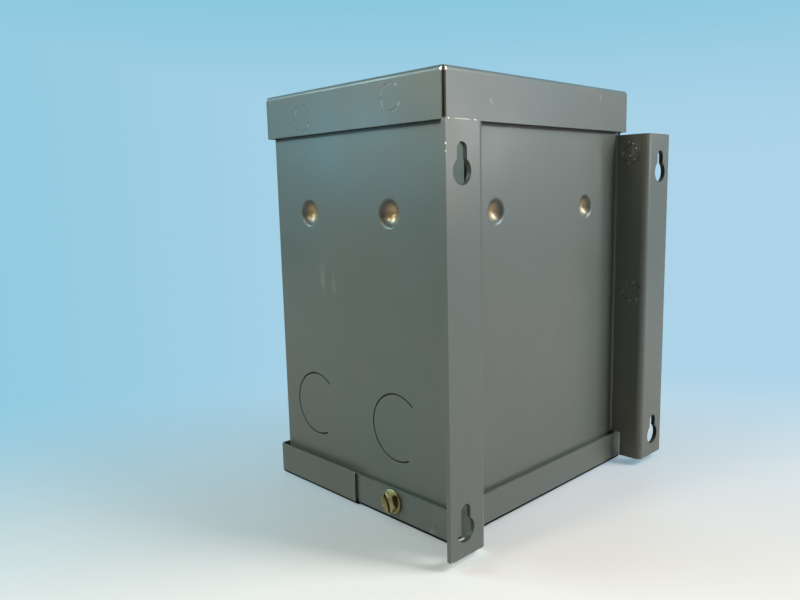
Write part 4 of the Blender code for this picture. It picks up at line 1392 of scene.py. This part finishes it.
def winding_tree(corner_steps: int = 6, wire_sides: int = 6) -> NodeTree:
    """Returns the tree that winds wire round a former, turn on turn.

    Args:
        corner_steps: Chords in each corner of a turn.
        wire_sides: Faces round the wire.

    Returns:
        The tree, ready to run.
    """
    sizes = {name: "Float" for name in ("Width", "Depth", "Corner", "Wire_Radius", "Pitch")}
    counts = {name: "Int" for name in ("Turns", "Steps")}
    tree = NodeTree("turns_of_wire", Blank="Geometry", **sizes, **counts, Start="Vector", Material="Material")
    entry = tree.entry
    sides = {"Width": entry["Width"], "Height": entry["Depth"]}
    loop = tree.add("GeometryNodeCurvePrimitiveQuadrilateral", sides).outputs["Curve"]
    inputs = {"Curve": loop, "Radius": entry["Corner"], "Count": corner_steps}
    former = tree.add("GeometryNodeFilletCurve", inputs, mode="POLY").outputs["Curve"]
    count = tree.times(entry["Turns"], entry["Steps"])
    line = tree.add("GeometryNodeMeshLine", {"Count": count}).outputs["Mesh"]
    along = tree.math("DIVIDE", tree.add("GeometryNodeInputIndex").outputs["Index"], entry["Steps"])
    inputs = {"Curves": former, "Factor": tree.math("FRACT", along)}
    around = tree.add("GeometryNodeSampleCurve", inputs, mode="FACTOR").outputs["Position"]
    rise = tree.add("ShaderNodeCombineXYZ", {"Z": tree.times(along, entry["Pitch"])}).outputs["Vector"]
    place = tree.vector("ADD", tree.vector("ADD", around, rise), entry["Start"])
    path = tree.add("GeometryNodeSetPosition", {"Geometry": line, "Position": place}).outputs["Geometry"]
    tree.close(tree.tube(path, entry["Wire Radius"], wire_sides))
    return tree


def lead_tree() -> NodeTree:
    """Returns the tree that sheathes a route in insulation.

    Returns:
        The tree, ready to run.
    """
    tree = NodeTree("sheath_on_a_route", Route="Geometry", Radius="Float", Sides="Int", Material="Material")
    tree.close(tree.tube(tree.entry["Route"], tree.entry["Radius"], tree.entry["Sides"]))
    return tree


@dataclass(frozen=True)
class Seat:
    """Where a fastener sits, which way it looks and how far it is turned."""

    place: Point3
    facing: Point3
    turn_deg: float = 0.0


def set_fasteners(
    name: str, pattern: Piece, seats: Sequence[Seat], centre_y: float, material: Material
) -> Piece:
    """Sets copies of a pattern on their seats as one plain piece.

    Args:
        name: Name of the piece.
        pattern: The fastener, which is removed.
        seats: Where the copies sit, measured from the case's centre line.
        centre_y: Where that line stands.
        material: Their finish.

    Returns:
        The piece that holds them all.
    """
    points = bmesh.new()
    facing = points.verts.layers.float_vector.new("facing")
    turn = points.verts.layers.float.new("turn")
    for seat in seats:
        x, y, z = seat.place
        vert = points.verts.new((x, y + centre_y, z))
        vert[facing] = seat.facing
        vert[turn] = math.radians(seat.turn_deg)
    made = repeat_tree().run(name, points, Fastener=pattern, Material=material)
    bpy.data.objects.remove(pattern, do_unlink=True)
    return made


@dataclass
class WasherHeadScrews:
    """Slotted hex washer head screws in plated steel."""

    centre_y: float
    shank: float = 2.3 * MM
    length: float = 9.5 * MM
    point: float = 2.0 * MM
    tip: float = 0.805 * MM
    thread_depth: float = 0.35 * MM
    thread_pitch: float = 1.05 * MM
    washer: float = 5.3 * MM
    washer_thick: float = 0.8 * MM
    washer_rim: float = 0.336 * MM
    washer_share: float = 0.47
    washer_crown: float = 0.05 * MM
    head_start: float = 0.1 * MM
    seat_round: Point2 = (0.25 * MM, 0.12 * MM)
    rim_round: Point2 = (0.2 * MM, 0.15 * MM)
    flats: float = 7.9 * MM
    head: float = 2.2 * MM
    slot: float = 1.3 * MM
    slot_depth: float = 1.2 * MM
    corner_fall: float = 0.6 * MM
    top_radius: float = 3.7 * MM
    dish: tuple[Point2, ...] = ((0.0, -0.35 * MM), (0.26, -0.3 * MM), (0.40, 0.15 * MM), (0.0, 0.15 * MM))
    clear: float = 2.0 * MM
    edge: float = 0.10 * MM
    segments: int = 48
    turns_deg: Point3 = (24, 70, 30)
    earth_length: float = 6.0 * MM
    earth_place: Point3 = (0.0, 34.0 * MM, 66.0 * MM)
    earth_turn_deg: float = 12

    def _shank(self, length: float) -> list[Point2]:
        """Returns the threaded shank in profile, from its tip up to the washer.

        Args:
            length: Length under the head.

        Returns:
            (radius, height) points.
        """
        root = self.shank - self.thread_depth
        profile: list[Point2] = [(0.0, FIT - length), (self.tip, FIT - length)]
        height = FIT - length + self.point
        while height < FIT - self.thread_pitch:
            profile += [(root, height), (self.shank, height + self.thread_pitch / 2)]
            height += self.thread_pitch
        return [*profile, (root, FIT)]

    def pattern(self, length: float) -> Piece:
        """Returns one screw along +Z whose washer seats at height 0.

        Args:
            length: Length under the head.

        Returns:
            The screw.
        """
        rim, upper = FIT + self.washer_rim, FIT + self.washer_thick
        seat_in, seat_up = self.seat_round
        rim_in, rim_up = self.rim_round
        profile = self._shank(length)
        profile += [(self.washer - seat_in, FIT), (self.washer, FIT + seat_up), (self.washer, rim)]
        profile += [(self.washer - rim_in, rim + rim_up), (self.flats * self.washer_share, upper)]
        profile += [(0.0, upper + self.washer_crown)]
        piece = Workpiece("screw_pattern", turned(profile, self.segments), 0.0)
        top = upper + self.head
        piece.join(prism(hexagon(self.flats), rim + self.head_start, top))
        flat, wide, above = self.top_radius, self.flats, top + self.clear
        low = top - self.corner_fall * wide / flat
        corners = [(flat, top), (wide, low), (wide, above), (flat, above)]
        piece.cut(turned(corners, self.segments, ring=True))
        piece.cut(turned([(wide * share, top + rise) for share, rise in self.dish], self.segments))
        half = self.slot / 2
        piece.cut(block((-wide, -half, top - self.slot_depth), (wide, half, above)))
        return piece.finish(bpy.data.materials.new("screw_blank"), self.edge)

    def build(self, sheets: Sheets, zinc: Material, green: Material) -> None:
        """Sets the case's screws and the earthing screw.

        Args:
            sheets: The sheets that they go through.
            zinc: Finish of the case's screws.
            green: Finish of the earthing screw.
        """
        y, z = sheets.pan_screw
        right, left, front = self.turns_deg
        seats = [
            Seat((sheets.pan_x, y, z), (1, 0, 0), right),
            Seat((-sheets.pan_x, y, z), (-1, 0, 0), left),
            Seat((0, -sheets.cover_y, sheets.cover_screw_z), (0, -1, 0), front),
        ]
        piece = set_fasteners("case_screws", self.pattern(self.length), seats, self.centre_y, zinc)
        settle(piece, ["pan_screw_right", "pan_screw_left", "cover_screw"])
        seats = [Seat(self.earth_place, (0, 0, -1), self.earth_turn_deg)]
        piece = set_fasteners("earth_screw", self.pattern(self.earth_length), seats, self.centre_y, green)
        settle(piece, ["ground_screw"])


@dataclass
class CoreAndCoil:
    """The laminated core with its bolts and nuts, and the windings on its tongue."""

    centre_y: float
    width: float = 96.0 * MM
    yoke: float = 16.0 * MM
    window: float = 48.0 * MM
    tongue: float = 32.0 * MM
    stack: float = 40.0 * MM
    bottom: float = 67.5 * MM
    lamination: float = 0.5 * MM
    lamination_fill: float = 0.92
    slit: float = 0.02 * MM
    bolt: float = 2.4 * MM
    bolt_flats: float = 8.0 * MM
    bolt_head: float = 3.2 * MM
    bolt_tail: float = 1.5 * MM
    bolt_point: Point2 = (0.3 * MM, 0.4 * MM)
    bolt_turn_deg: float = 15
    nut_turn_deg: float = 40
    hex_edge: float = 0.2 * MM
    foot_sheet: float = 2.0 * MM
    former: float = 1.2 * MM
    wrap: float = 0.4 * MM
    end_gap: float = 0.8 * MM
    wire_fill: float = 0.97
    steps_per_turn: int = 40
    builds: tuple[tuple[str, float], ...] = (
        ("primary_winding_1", 2.6 * MM),
        ("primary_winding_2", 2.6 * MM),
        ("secondary_winding_1", 2.2 * MM),
        ("secondary_winding_2", 2.2 * MM),
    )

    def __post_init__(self) -> None:
        """Works out the levels of both stacks and of the bolts in them."""
        self.window_low = self.bottom + self.yoke
        self.window_top = self.window_low + self.window
        self.bar_low = self.window_top + FIT
        self.bar_top = self.bar_low + self.yoke
        self.bolt_x = (self.width - self.yoke) / 2
        self.bolt_low = self.bottom + self.yoke / 2
        self.bolt_top = self.bar_top - self.yoke / 2

    def _hole(self, x: float, level: float, edge: float) -> list[Point2]:
        """Returns the outline of a bolt hole that a hair-wide slit joins to an edge.

        Args:
            x: Place of the hole across the core.
            level: Its height.
            edge: Height of the edge.

        Returns:
            The points, a part of the sheet's own outline.
        """
        start, slit = (269, self.slit) if edge < level else (89, -self.slit)
        ring = arc((x, level), self.bolt + FIT, start, start - 358, 16)
        return [(x - slit, edge), *ring, (x + slit, edge)]

    def core(self, iron: Material) -> None:
        """Builds both stacks of laminations, with room for the bolts.

        Args:
            iron: Their finish.
        """
        half, tongue, leg = self.width / 2, self.tongue / 2, self.width / 2 - self.yoke
        low, high = self.window_low, self.window_top
        e_shape = [(-half, self.bottom)]
        e_shape += self._hole(-self.bolt_x, self.bolt_low, self.bottom)
        e_shape += self._hole(self.bolt_x, self.bolt_low, self.bottom)
        e_shape += [(half, self.bottom), (half, high), (leg, high), (leg, low), (tongue, low), (tongue, high)]
        e_shape += [(-tongue, high), (-tongue, low), (-leg, low), (-leg, high), (-half, high)]
        i_shape = [(-half, self.bar_low), (half, self.bar_low), (half, self.bar_top)]
        i_shape += self._hole(self.bolt_x, self.bolt_top, self.bar_top)
        i_shape += self._hole(-self.bolt_x, self.bolt_top, self.bar_top)
        i_shape += [(-half, self.bar_top)]
        tree = stack_tree()
        count = round(self.stack / self.lamination)
        front = self.centre_y - self.stack / 2
        for letter, outline in (("e", e_shape), ("i", i_shape)):
            sheet = prism(outline, front, front + self.lamination * self.lamination_fill, Axis.Y)
            name = f"{letter}_laminations"
            piece = tree.run(name, sheet, Count=count, Pitch=self.lamination, Material=iron)
            settle(piece, [f"core_{letter}_stack"])

    def _bolt(self, reach: float) -> Piece:
        """Returns one bolt along +Z whose head seats at height 0.

        Args:
            reach: From the head's seat to the nut's outer face.

        Returns:
            The bolt.
        """
        low, (inward, along) = -(reach + self.bolt_tail), self.bolt_point
        shank = [(0.0, low), (self.bolt - inward, low), (self.bolt, low + along)]
        shank += [(self.bolt, FIT * 2), (0.0, FIT * 2)]
        bolt = Workpiece("bolt_pattern", turned(shank, 24), 0.0)
        bolt.join(prism(hexagon(self.bolt_flats), FIT, FIT + self.bolt_head))
        return bolt.finish(bpy.data.materials.new("bolt_blank"), self.hex_edge)

    def _nut(self) -> Piece:
        """Returns one nut along +Z that seats at height 0.

        Returns:
            The nut.
        """
        nut = Workpiece("nut_pattern", prism(hexagon(self.bolt_flats), FIT, FIT + self.bolt_head), 0.0)
        bore = self.bolt + FIT
        nut.cut(turned([(bore, -self.bolt_head), (bore, 2 * self.bolt_head)], 24))
        return nut.finish(bpy.data.materials.new("nut_blank"), self.hex_edge)

    def fasteners(self, steel: Material) -> None:
        """Builds the core's bolts and nuts, the lower ones through the feet too.

        Args:
            steel: Their finish.
        """
        face = self.stack / 2
        foot = face + FIT + self.foot_sheet
        rows = ((1, self.bolt_top, face, (2, 4)), (2, self.bolt_low, foot, (1, 3)))
        nuts: list[Seat] = []
        for row, z, seat, numbers in rows:
            places = [(sign * self.bolt_x, z) for sign in (-1, 1)]
            seats = [Seat((x, -seat, z), (0, -1, 0), self.bolt_turn_deg) for x, z in places]
            nuts += [Seat((x, seat, z), (0, 1, 0), self.nut_turn_deg) for x, z in places]
            pattern = self._bolt(2 * seat + FIT + self.bolt_head)
            piece = set_fasteners(f"bolts_row_{row}", pattern, seats, self.centre_y, steel)
            settle(piece, [f"core_bolt_{number}" for number in numbers])
        piece = set_fasteners("core_nuts", self._nut(), nuts, self.centre_y, steel)
        settle(piece, [f"core_nut_{number}" for number in range(1, 5)])

    def windings(self, copper: Material) -> None:
        """Winds the four windings in their places between the wraps.

        Args:
            copper: The wire's finish.
        """
        tree = winding_tree()
        corner = FIT + self.former + FIT
        inner_x, inner_y = self.tongue / 2 + corner, self.stack / 2 + corner
        low = self.window_low + self.end_gap
        tall = self.window - 2 * self.end_gap
        for node, build in self.builds:
            wire = build / 2
            turns = int((tall - build) / build)
            blank = bmesh.new()
            blank.verts.new((0, 0, 0))
            piece = tree.run(
                f"{node}_turns",
                blank,
                Width=2 * (inner_x + wire),
                Depth=2 * (inner_y + wire),
                Corner=corner + wire,
                Wire_Radius=wire * self.wire_fill,
                Turns=turns,
                Steps=self.steps_per_turn,
                Pitch=(tall - build) / turns,
                Start=(0.0, self.centre_y, low + wire),
                Material=copper,
            )
            settle(piece, [node])
            grown = build + FIT + self.wrap + FIT
            inner_x, inner_y, corner = inner_x + grown, inner_y + grown, corner + grown

    def build(self, iron: Material, steel: Material, copper: Material) -> None:
        """Builds the core, its fasteners and the windings.

        Args:
            iron: Finish of the laminations.
            steel: Finish of the fasteners.
            copper: Finish of the wire.
        """
        self.core(iron)
        self.fasteners(steel)
        self.windings(copper)


@dataclass
class Leads:
    """The insulated leads from the coil, folded into the wiring compartment."""

    centre_y: float
    radius: float = 1.6 * MM
    sides: int = 14
    spacing: float = 6.0 * MM
    pack: float = 2.4 * MM
    drop: float = 7.0 * MM
    chord: float = 3.0 * MM
    grommet_x: float = 18.0 * MM
    grommet_y: float = -32.3 * MM
    coil_bottom: float = 84.3 * MM
    divider_z: float = 66.0 * MM
    divider_sheet: float = 1.2 * MM
    turn_y: float = 38.3 * MM
    end_y: float = -38.6 * MM

    def _points(self, sign: int, index: int) -> list[Point3]:
        """Returns the points that a lead passes, from the coil to its end.

        Args:
            sign: 1 for the primary's side, -1 for the secondary's.
            index: Number of the lead in its group, from 0.

        Returns:
            The points, measured from the case's centre line.
        """
        across, along = ((-1, -1), (-1, 1), (1, 1), (1, -1))[index]
        x = sign * self.grommet_x + across * self.pack
        y = self.grommet_y + along * self.pack
        lane = sign * self.grommet_x + (index - 1.5) * self.spacing
        drop = self.drop * (1 - along) / 2
        return [
            (x, y, self.coil_bottom - FIT),
            (x, y, self.divider_z + self.divider_sheet + 4 * MM),
            (x, y, self.divider_z - 6 * MM - drop),
            (lane, -12 * MM, 49 * MM - drop),
            (lane, self.turn_y - 18 * MM, 43 * MM),
            (lane, self.turn_y, 33 * MM),
            (lane, self.turn_y - 16 * MM, 22 * MM),
            (lane, 0.0, 18 * MM),
            (lane, self.end_y, 20 * MM),
        ]

    def _route(self, sign: int, index: int) -> list[Vector]:
        """Returns the smooth line through a lead's points.

        Args:
            sign: 1 for the primary's side, -1 for the secondary's.
            index: Number of the lead in its group, from 0.

        Returns:
            The line's points, in the part's own frame.
        """
        points = [Vector((x, y + self.centre_y, z)) for x, y, z in self._points(sign, index)]
        ends = [points[0] * 2 - points[1], *points, points[-1] * 2 - points[-2]]
        route = []
        for a, b, c, d in zip(ends, ends[1:], ends[2:], ends[3:]):
            pieces = max(3, round((c - b).length / self.chord))
            for k in range(pieces):
                t = k / pieces
                bend = (a * 2 - b * 5 + c * 4 - d) * t**2 + (b * 3 - a - c * 3 + d) * t**3
                route.append((b * 2 + (c - a) * t + bend) / 2)
        return [*route, points[-1]]

    def build(self, primary: Material, secondary: Material) -> None:
        """Builds the eight leads.

        Args:
            primary: Insulation of the primary's leads.
            secondary: Insulation of the secondary's leads.
        """
        tree = lead_tree()
        groups = (("h", 1, primary, "black_insulation"), ("x", -1, secondary, "red_insulation"))
        for family, sign, insulation, slot in groups:
            for index in range(4):
                blank = bmesh.new()
                verts = [blank.verts.new(point) for point in self._route(sign, index)]
                for pair in zip(verts, verts[1:]):
                    blank.edges.new(pair)
                name = f"lead_{family}{index + 1}"
                sheath = {"Radius": self.radius, "Sides": self.sides, "Material": insulation}
                settle(tree.run(f"{name}_sheath", blank, **sheath), [name])


@dataclass(frozen=True)
class Lamp:
    """A square lamp that looks at the case."""

    name: str
    azimuth_deg: float
    elevation_deg: float
    away: float
    size: float
    power: float
    colour: Colour = (1.0, 1.0, 1.0)


@dataclass
class Studio:
    """The pale floor, the soft light and the camera."""

    camera_place: Point3 = (257.766 * MM, 228.227 * MM, 137.632 * MM)
    camera_right: Point3 = (-0.721259, 0.692262, -0.023642)
    camera_up: Point3 = (-0.121030, -0.092346, 0.988344)
    lens: float = 32.221
    sensor: float = 36.0
    sight: Point2 = (0.01, 50.0)
    lamps_look_at: Point3 = (0.0, 0.0, 90.0 * MM)
    floor_rings: tuple[float, ...] = (0.4, 1.2, 4.0, 14.0)
    floor_segments: int = 64
    floor_white: Colour = (0.535, 0.51, 0.49)
    floor_blotch: float = 0.97
    floor_blotches: Pattern = Pattern(9, 3, 0.3, 0.7)
    floor_gloss: float = 0.45
    floor_specular: float = 0.30
    haze_from: Point3 = (260 * MM, 330 * MM, 0.0)
    haze_left: Point3 = (0.72, -0.69, 0.0)
    haze_drift: tuple[float, ...] = (-0.10, 0.60, 0.0, 0.60)
    haze_rise: Point2 = (0.02, 0.35)
    haze_near: float = 0.26
    haze_far: float = 0.66
    haze: Colour = (0.415, 0.655, 0.815)
    zenith: Colour = (0.200, 0.550, 0.710)
    ambient: float = 0.16
    ambient_colour: Colour = (0.96, 0.99, 1.0)
    room: Colour = (0.080, 0.078, 0.060)
    room_ahead: Point3 = (-0.75, -0.66, 0.25)
    room_edge: Point2 = (-0.20, 0.50)
    lamps: tuple[Lamp, ...] = (
        Lamp("top", 60, 86, 1.30, 0.80, 3.0, (1.0, 0.98, 0.95)),
        Lamp("left", -5, 38, 1.00, 0.14, 3.4, (1.0, 0.88, 0.66)),
        Lamp("right", 112, 51, 1.00, 0.20, 4.2, (1.0, 0.97, 0.94)),
        Lamp("left_low", -46, 33, 1.00, 0.36, 6.2, (0.56, 0.90, 1.0)),
        Lamp("left_sky", -46, 8, 1.00, 0.14, 0.85, (0.18, 0.70, 1.0)),
        Lamp("left_warm", -31, 15, 1.00, 0.20, 1.5, (1.0, 0.74, 0.40)),
        Lamp("by_camera", 18, 34, 1.00, 0.26, 0.8, (1.0, 0.80, 0.48)),
        Lamp("right_low", 120, 33, 1.00, 0.46, 11.4, (0.93, 0.98, 1.0)),
        Lamp("right_sky", 131, 9, 1.00, 0.20, 1.7, (1.0, 0.98, 0.97)),
    )

    def camera(self) -> None:
        """Sets the camera at the photograph's viewing angle."""
        data = bpy.data.cameras.new("camera")
        data.lens, data.sensor_width = self.lens, self.sensor
        data.clip_start, data.clip_end = self.sight
        made = bpy.data.objects.new("camera", data)
        right, up = Vector(self.camera_right), Vector(self.camera_up)
        turn = Matrix((right, up, right.cross(up))).transposed().to_4x4()
        made.matrix_world = Matrix.Translation(self.camera_place) @ turn
        bpy.context.scene.collection.objects.link(made)
        bpy.context.scene.camera = made

    def _floor_mesh(self) -> Mesh:
        """Returns a flat disc in rings.

        Returns:
            The disc's mesh.
        """
        mesh, count = bmesh.new(), self.floor_segments
        angles = [2 * math.pi * k / count for k in range(count)]
        rays = [Vector((math.cos(angle), math.sin(angle), 0)) for angle in angles]
        rows = [[mesh.verts.new(ray * radius) for ray in rays] for radius in self.floor_rings]
        mesh.faces.new(rows[0])
        for row, following in zip(rows, rows[1:]):
            for k in range(count):
                j = (k + 1) % count
                mesh.faces.new((row[k], following[k], following[j], row[j]))
        bmesh.ops.recalc_face_normals(mesh, faces=mesh.faces)
        return mesh

    def floor(self) -> None:
        """Lays a pale floor that fades into the haze far off."""
        shader = Shader("floor_card")
        dimmer = tuple(c * self.floor_blotch for c in self.floor_white)
        shader.set("Base Color", shader.mix(shader.patches(self.floor_blotches), self.floor_white, dimmer))
        shader.set("Roughness", self.floor_gloss)
        shader.set("Specular IOR Level", self.floor_specular)
        foot = (*self.camera_place[:2], 0.0)
        looking = shader.vector("NORMALIZE", shader.vector("SUBTRACT", shader.place, foot))
        drift = shader.band(shader.vector("DOT_PRODUCT", looking, self.haze_left), *self.haze_drift)
        glow = shader.add("ShaderNodeEmission", {"Color": shader.mix(drift, self.haze, self.zenith)})
        seen = shader.add("ShaderNodeLightPath").outputs["Is Camera Ray"]
        away = shader.vector("DISTANCE", shader.place, self.haze_from)
        far = shader.times(shader.band(away, self.haze_near, self.haze_far), seen)
        faded = shader.blend(far, shader.surface.outputs["BSDF"], glow.outputs["Emission"])
        shader.give(shader.tree.nodes["Material Output"].inputs["Surface"], faded)
        floor = link_mesh("floor", self._floor_mesh())
        floor.data.materials.append(shader.material)

    def world(self) -> None:
        """Fills the world with soft light, and shows haze to the camera and a room to the gloss."""
        world = bpy.data.worlds.new("studio")
        world.use_nodes = True
        bpy.context.scene.world = world
        nodes = Nodes(world.node_tree)
        nodes.tree.nodes.clear()
        look = nodes.add("ShaderNodeTexCoord").outputs["Generated"]
        rise = nodes.band(nodes.vector("DOT_PRODUCT", look, Axis.Z.value), *self.haze_rise)
        left = nodes.band(nodes.vector("DOT_PRODUCT", look, self.haze_left), *self.haze_drift)
        sky = nodes.mix(nodes.math("MAXIMUM", rise, left), self.haze, self.zenith)
        ahead = nodes.band(nodes.vector("DOT_PRODUCT", look, self.room_ahead), *self.room_edge)
        room = nodes.mix(ahead, self.room, sky)
        kind, path = "ShaderNodeBackground", nodes.add("ShaderNodeLightPath").outputs
        shown = nodes.add(kind, {"Color": self.ambient_colour, "Strength": self.ambient}).outputs[0]
        for ray, colour in (("Is Glossy Ray", room), ("Is Camera Ray", sky), ("Is Transmission Ray", sky)):
            shown = nodes.blend(path[ray], shown, nodes.add(kind, {"Color": colour}).outputs[0])
        nodes.add("ShaderNodeOutputWorld", {"Surface": shown})

    def hang(self, lamp: Lamp) -> None:
        """Hangs a soft lamp that looks at the case.

        Args:
            lamp: The lamp.
        """
        data = bpy.data.lights.new(lamp.name, "AREA")
        data.shape = "SQUARE"
        data.size, data.energy, data.color = lamp.size, lamp.power, lamp.colour
        made = bpy.data.objects.new(lamp.name, data)
        azimuth, elevation = math.radians(lamp.azimuth_deg), math.radians(lamp.elevation_deg)
        flat = math.cos(elevation)
        facing = Vector((flat * math.cos(azimuth), flat * math.sin(azimuth), math.sin(elevation)))
        made.location = Vector(self.lamps_look_at) + facing * lamp.away
        made.rotation_euler = facing.to_track_quat("Z", "Y").to_euler()
        bpy.context.scene.collection.objects.link(made)

    def build(self) -> None:
        """Sets up the camera, the floor and the lamps."""
        self.camera()
        self.floor()
        self.world()
        for lamp in self.lamps:
            self.hang(lamp)
        bpy.context.scene.view_settings.view_transform = "Standard"


@dataclass(frozen=True)
class Finishes:
    """Finishes of everything but the enamelled sheets."""

    zinc: Metal = Metal((0.33, 0.30, 0.16), (0.19, 0.145, 0.065), 0.30, 500)
    green_zinc: Metal = Metal((0.05, 0.30, 0.10), (0.04, 0.22, 0.08), 0.38)
    plain_steel: Metal = Metal((0.50, 0.50, 0.50), (0.38, 0.38, 0.38), 0.36)
    rolled_steel: Metal = Metal((0.42, 0.43, 0.44), (0.34, 0.35, 0.36), 0.42, 700, (1, 6, 1))
    iron: Metal = Metal((0.20, 0.20, 0.22), (0.13, 0.13, 0.15), 0.50, 400)
    copper: Metal = Metal((0.50, 0.20, 0.08), (0.58, 0.26, 0.10), 0.28, 300)
    black: Matter = Matter((0.02, 0.02, 0.02), (0.03, 0.03, 0.03), 0.48, 80)
    red: Matter = Matter((0.45, 0.04, 0.03), (0.38, 0.03, 0.02), 0.48, 80)
    board: Matter = Matter((0.60, 0.45, 0.26), (0.50, 0.36, 0.19), 0.80, 60, stretch=(1, 1, 4))
    rubber: Matter = Matter((0.020, 0.020, 0.021), (0.032, 0.032, 0.033), 0.60, 90)
    compound: Matter = Matter((0.10, 0.09, 0.08), (0.16, 0.145, 0.125), 0.78, 260, 0.25 * MM)

    def dress_solids(self, solids: dict[str, Piece]) -> None:
        """Gives the inner solids that keep their shape their finishes.

        Args:
            solids: The frame's solids by name.
        """
        wraps = [f"insulation_wrap_{number}" for number in range(1, 5)]
        groups = {
            "pressed_board": (self.board, ["coil_former", *wraps]),
            "bushing_rubber": (self.rubber, ["grommet_left", "grommet_right"]),
            "cast_compound": (self.compound, ["potting"]),
            "rolled_steel": (self.rolled_steel, ["divider", "foot_front", "foot_rear"]),
        }
        for name, (finish, nodes) in groups.items():
            material = finish.material(name)
            for node in nodes:
                for slot in solids[node].material_slots:
                    slot.material = material
            LOG.info("%s on %s", name, ", ".join(nodes))


def main() -> None:
    """Builds the camera, the case and what is in it."""
    logging.basicConfig(level=logging.INFO, format="%(name)s: %(message)s")
    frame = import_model()
    low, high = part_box("top_cap")
    centre_y = (low.y + high.y) / 2
    finishes = Finishes()
    Studio().build()

    sheets = Sheets(centre_y=centre_y, enamel=Enamel())
    sheets.build()
    zinc = finishes.zinc.material("yellow_zinc_plate")
    green = finishes.green_zinc.material("green_zinc_plate")
    WasherHeadScrews(centre_y=centre_y).build(sheets, zinc, green)

    finishes.dress_solids(frame["nodes"])
    iron = finishes.iron.material("lamination_iron")
    steel = finishes.plain_steel.material("fastener_steel")
    copper = finishes.copper.material("enamelled_wire")
    CoreAndCoil(centre_y=centre_y).build(iron, steel, copper)
    black = finishes.black.material("black_sheath")
    red = finishes.red.material("red_sheath")
    Leads(centre_y=centre_y).build(black, red)


if __name__ == "__main__":
    main()
